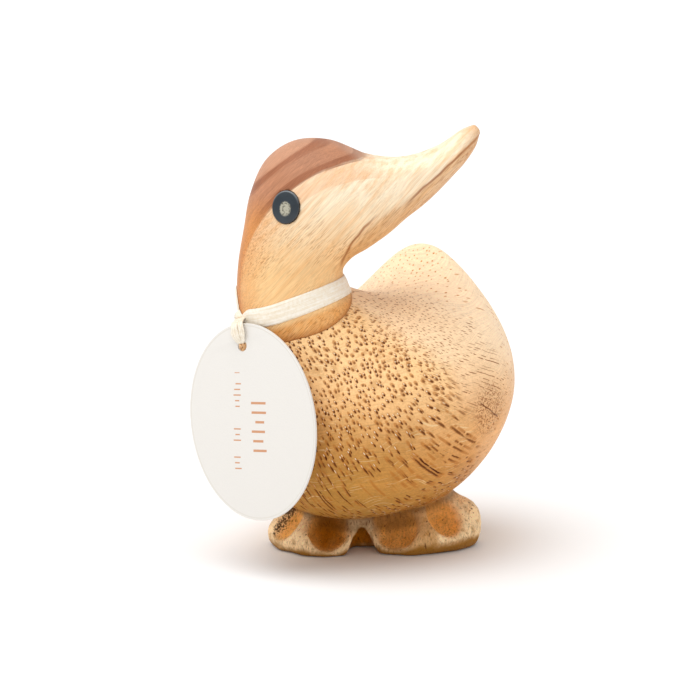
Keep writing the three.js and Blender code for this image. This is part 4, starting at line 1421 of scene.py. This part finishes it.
def jaw_figure(paint, hue, shades, place, forward, height):
    """Adds the browner wood under the jaw and the dark lines of the jaw and the bill's lower edge."""
    ahead, rise = BILL_LINE["slope"]
    off = (forward - BILL_LINE["through"][0]) * rise - (height - BILL_LINE["through"][1]) * ahead
    ragged = (paint.noise(place, FIGURE_LINE["bend_size"]) - 0.5) * FIGURE_LINE["bend"]
    below = off + ragged + (1 - paint.ease(forward, *JAW["widens"])) * JAW["wider"]
    brown = paint.ease(below, *JAW["edge"]) * paint.ease(forward, *JAW["from"])
    hue = paint.mix(brown * JAW["share"], hue, shades["jaw"])
    arc = from_point(paint, forward, height, JAW["arc_centre"]) - JAW["arc_radius"] + ragged
    shown = paint.between(forward, *JAW["arc_reach"], FIGURE_LINE["fade"])
    shown = shown * paint.ease(height, *JAW["arc_rise"])
    hue = figure_line(paint, hue, shades, arc, shown)
    shown = paint.between(forward, *BILL_LINE["reach"], FIGURE_LINE["fade"])
    hue = figure_line(paint, hue, shades, off + ragged * FIGURE_LINE["bill_bend"], shown)
    return paint.mix(paint.ease(forward, *BILL_TIP["reach"]) * BILL_TIP["share"], hue, shades["tip"]), brown


def figure_line(paint, hue, shades, off, shown):
    """Adds a thin dark line where a distance from it is 0."""
    line = 1 - paint.ease(paint.maths("ABSOLUTE", off), *FIGURE_LINE["reach"])
    return paint.mix(line * shown * FIGURE_LINE["share"], hue, shades["line"])


def head_wood():
    """Pale wood of head and bill, with its grain, heart and jaw figure, rubbed to a satin shine."""
    paint = Paint("pale_head_wood", Coat_Weight=HEAD_SHEEN["coat"], Coat_Roughness=HEAD_SHEEN["coat_rough"],
                  Specular_IOR_Level=HEAD_SHEEN["gloss"])
    place = paint.place()
    shades = {name: colour(text) for name, text in HEAD_COLOURS.items()}
    forward, side, height = profile_place(paint, place)
    spot = (paint, forward, side, height)
    figure = head_streaks(*spot, HEAD_FIGURE["across"], HEAD_FIGURE["along"])
    hue = paint.mix(paint.ease(height, *HEAD_FIGURE["rise"]), shades["cheek"], shades["pale"])
    hue = paint.mix(paint.ease(figure, *HEAD_FIGURE["share"]) * HEAD_FIGURE["strength"], hue, shades["honey"])
    hue, brown = jaw_figure(paint, hue, shades, place, forward, height)
    level = paint.along(paint.join(forward, side, height - RIBBON["height"]), ribbon_up())
    under = 1 - paint.ease(level, *NECK_FOOT["under"])
    blotch = paint.noise(place, NECK_FOOT["blotch"], ROUGH) + NECK_FOOT["least"]
    hue = paint.mix(under * NECK_FOOT["share"] * blotch, hue, shades["foot"])
    hue = heart_wood(paint, hue, shades, forward, side, height)
    streak = head_streaks(*spot, HEAD_STREAK["across"], HEAD_STREAK["along"], ROUGH)
    hue = paint.shade(hue, 1 + (streak - 0.5) * HEAD_STREAK["strength"])
    dash = head_streaks(*spot, HEAD_DASH["across"], HEAD_DASH["along"], SMOOTH)
    patch = paint.ease(paint.noise(place, HEAD_DASH["patch"]), *HEAD_DASH["patch_from"])
    patch = patch * (1 - paint.ease(height, *HEAD_DASH["height"]))
    patch = paint.maths("MAXIMUM", patch, paint.maths("MAXIMUM", brown, under))
    dash = paint.ease(dash, *HEAD_DASH["from"]) * patch * HEAD_DASH["share"]
    hue = paint.mix(dash, hue, shades["dash"])
    hue = paint.mix(paint.attribute("seam") * NECK_FOOT["seam_share"], hue, shades["line"])
    paint.feed("Base Color", hue)
    paint.feed("Roughness", streak * HEAD_SHEEN["vary"] + HEAD_SHEEN["rough"])
    paint.bump(streak * HEAD_STREAK["relief"] - dash * HEAD_DASH["relief"], HEAD_SHEEN["depth"])
    return paint.material


def eye_inlay(name, side):
    """Blue-black disc with a speckled grey heart and a painted highlight along the top of its rim."""
    paint = Paint(name, Roughness=EYE_SHEEN["rough"], Coat_Weight=EYE_SHEEN["coat"],
                  Coat_Roughness=EYE_SHEEN["coat_rough"])
    shades = {label: colour(text) for label, text in EYE_COLOURS.items()}
    centre, axes = cheek_frame(side)
    place = paint.place()
    offset = paint.vector("SUBTRACT", place, tuple(centre))
    across = paint.along(offset, axes[0])
    upward = paint.along(offset, axes[1])
    spot = paint.join((across - PUPIL["centre"][0]) / PUPIL["radii"][0],
                      (upward - PUPIL["centre"][1]) / PUPIL["radii"][1])
    speck = paint.noise(place, PUPIL["grain"], ROUGH)
    pupil = 1 - paint.ease(paint.length(spot) + (speck - 0.5) * PUPIL["ragged"], *PUPIL["edge"])
    hue = paint.mix(paint.noise(place, EYE_SHEEN["cloud"]), shades["disc"], shades["sheen"])
    grey = paint.mix(paint.ease(speck, *PUPIL["speck"]), shades["speck"], shades["pupil"])
    hue = paint.mix(pupil, hue, grey)
    reach = paint.length(paint.join(across, upward / EYE["stretch"])) / EYE["radius"]
    # Painted highlight along the top of the rounded rim
    rim = paint.ease(reach, *EYE_RIM_HIGHLIGHT["reach"]) * paint.ease(upward / EYE["radius"], *EYE_RIM_HIGHLIGHT["top"])
    paint.feed("Base Color", paint.mix(rim * EYE_RIM_HIGHLIGHT["share"], hue, shades["rim"]))
    paint.bump(speck * pupil, EYE_SHEEN["depth"])
    return paint.material


def satin():
    """Cream satin with fine threads and soft creases along the ribbon, their sheen and shade painted as
    lighter and darker cream.
    """
    paint = Paint("cream_satin", Sheen_Weight=SATIN_SHEEN["sheen"],
                  Sheen_Roughness=SATIN_SHEEN["sheen_rough"], Specular_IOR_Level=SATIN_SHEEN["gloss"])
    shades = {name: colour(text) for name, text in SATIN_COLOURS.items()}
    across = paint.attribute("across") * RIBBON["width"]
    around = paint.attribute("around") * SATIN["length"]
    threads = paint.noise(paint.join(across / SATIN["thread"], around / SATIN["thread_long"]))
    creases = paint.noise(paint.join(across / SATIN["crease"], around / SATIN["crease_long"]), detail=ROUGH)
    fuzz = paint.noise(paint.place(), SATIN["fuzz"], ROUGH)
    # Painted sheen and shade: lighter and darker cream along the threads, creases and fuzz
    lit = threads * SATIN["thread_share"] + creases * SATIN["crease_share"] + fuzz * SATIN["fuzz_share"]
    paint.feed("Base Color", paint.mix(paint.ease(lit, *SATIN["lit"]), shades["deep"], shades["light"]))
    paint.feed("Roughness", threads * SATIN_SHEEN["thread"] + SATIN_SHEEN["rough"])
    paint.bump(threads * SATIN["thread_relief"] + creases, SATIN["depth"])
    return paint.material


def stroke_row(paint, across, along, row):
    """One row of short strokes of uneven height, set side by side along the card."""
    lean = math.radians(ROW_LEAN)
    across = across - row["centre"][0]
    along = along - row["centre"][1]
    up_row = along * math.cos(lean) + across * math.sin(lean)
    off_row = across * math.cos(lean) - along * math.sin(lean)
    step = (up_row + row["half_long"]) / row["pitch"]
    number = paint.maths("FLOOR", step)
    chance = paint.node("ShaderNodeTexWhiteNoise", {"noise_dimensions": "2D"},
                        {"Vector": paint.join(number + ROW_SEED[0], ROW_SEED[1])}, "Color")
    size, kept, shift = paint.parts(chance)
    inside = paint.maths("ABSOLUTE", step - number - 0.5) * row["pitch"]
    low, high = row["tall"]
    tall = (size * (high - low) + low) / 2
    reach = paint.maths("ABSOLUTE", off_row + (shift - 0.5) * (high - low) / 2)
    drawn = 1 - paint.ease(inside, row["stroke"], row["stroke"] + STROKE_SOFT["side"])
    drawn = drawn * (1 - paint.ease(reach - tall, 0.0, STROKE_SOFT["end"]))
    within = paint.maths("LESS_THAN", paint.maths("ABSOLUTE", up_row), row["half_long"])
    return drawn * within * paint.maths("GREATER_THAN", kept, row["gap"])


def card_stock():
    """Off-white card with a faint grain, a thin line of painted shade along its edge and two rows of copper
    strokes.
    """
    paint = Paint("card_stock", Roughness=CARD_GRAIN["rough"])
    shades = {name: colour(text) for name, text in CARD_COLOURS.items()}
    place = paint.place()
    offset = paint.vector("SUBTRACT", place, TAG_CENTRE)
    across, along, out = (paint.along(offset, axis) for axis in tag_axes())
    grain = paint.noise(place, CARD_GRAIN["size"], ROUGH)
    hue = paint.shade(shades["card"][:3], 1 + (grain - 0.5) * CARD_GRAIN["strength"])
    half_wide, half_long = TAG["wide"] / 2, TAG["long"] / 2
    oval = paint.length(paint.join(across / half_wide, along / half_long))
    # Painted shade just inside the card's edge
    line = paint.between((1 - oval) * half_wide, *CARD_EDGE_SHADE["reach"], CARD_EDGE_SHADE["soft"])
    hue = paint.mix(line * CARD_EDGE_SHADE["share"], hue, shades["edge"])
    face = paint.maths("GREATER_THAN", out, CARD_FACE)
    for row in ROWS:
        hue = paint.mix(stroke_row(paint, across, along, row) * face, hue, shades["ink"])
    paint.feed("Base Color", hue)
    paint.bump(grain, CARD_GRAIN["depth"])
    return paint.material


def make_floor():
    bpy.ops.mesh.primitive_plane_add(size=FLOOR["size"], location=(0, 0, -FLOOR["drop"] * MM))
    floor = bpy.context.object
    floor.name = "studio_floor"
    floor.data.materials.append(plain("pale_floor", FLOOR["colour"], FLOOR["roughness"]))


def camera_axes():
    turn, lift = math.radians(CAMERA["azimuth"]), math.radians(CAMERA["elevation"])
    right = Vector((math.cos(turn), math.sin(turn), 0))
    back = Vector((math.sin(turn) * math.cos(lift), -math.cos(turn) * math.cos(lift), math.sin(lift)))
    return right, back.cross(right), back


def make_camera():
    right, up, back = camera_axes()
    middle = PICTURE["size"] / 2
    target = right * (middle - PICTURE["feet_x"]) + up * (PICTURE["feet_y"] - middle)
    target = target * PICTURE["scale"] * MM
    camera = bpy.data.objects.new("camera", bpy.data.cameras.new("camera"))
    bpy.context.scene.collection.objects.link(camera)
    camera.data.sensor_width = CAMERA["sensor"]
    camera.data.lens = CAMERA["sensor"] * CAMERA["distance"] / CAMERA["frame"]
    camera.location = target + back * CAMERA["distance"] * MM
    camera.rotation_euler = back.to_track_quat("Z", "Y").to_euler()
    camera.data.clip_start = CAMERA["near"] * MM
    bpy.context.scene.camera = camera


def make_sun():
    """Soft studio light from above, by the camera's left shoulder."""
    right, _, back = camera_axes()
    lamp = bpy.data.lights.new("soft_light", "SUN")
    lamp.energy = SUN["strength"]
    lamp.angle = math.radians(SUN["angle"])
    light = bpy.data.objects.new("soft_light", lamp)
    bpy.context.scene.collection.objects.link(light)
    towards = right * SUN["side"] + Vector((0, 0, SUN["rise"])) + back * SUN["front"]
    light.rotation_euler = towards.to_track_quat("Z", "Y").to_euler()


def make_world():
    world = bpy.data.worlds.new("studio")
    world.use_nodes = True
    ground = world.node_tree.nodes["Background"]
    ground.inputs["Color"].default_value = colour(SKY["colour"])
    ground.inputs["Strength"].default_value = SKY["strength"]
    bpy.context.scene.world = world


body = make_body(root_wood())
head = make_head(head_wood())
make_eye("eye_right_inlay", "eye_right", RIGHT, eye_inlay("eye_right_disc", RIGHT))
make_eye("eye_left_inlay", "eye_left", LEFT, eye_inlay("eye_left_disc", LEFT))
make_tag(card_stock())
make_ribbon([head, body], satin())
make_floor()
make_camera()
make_world()
make_sun()
bpy.context.scene.view_settings.view_transform = "Standard"
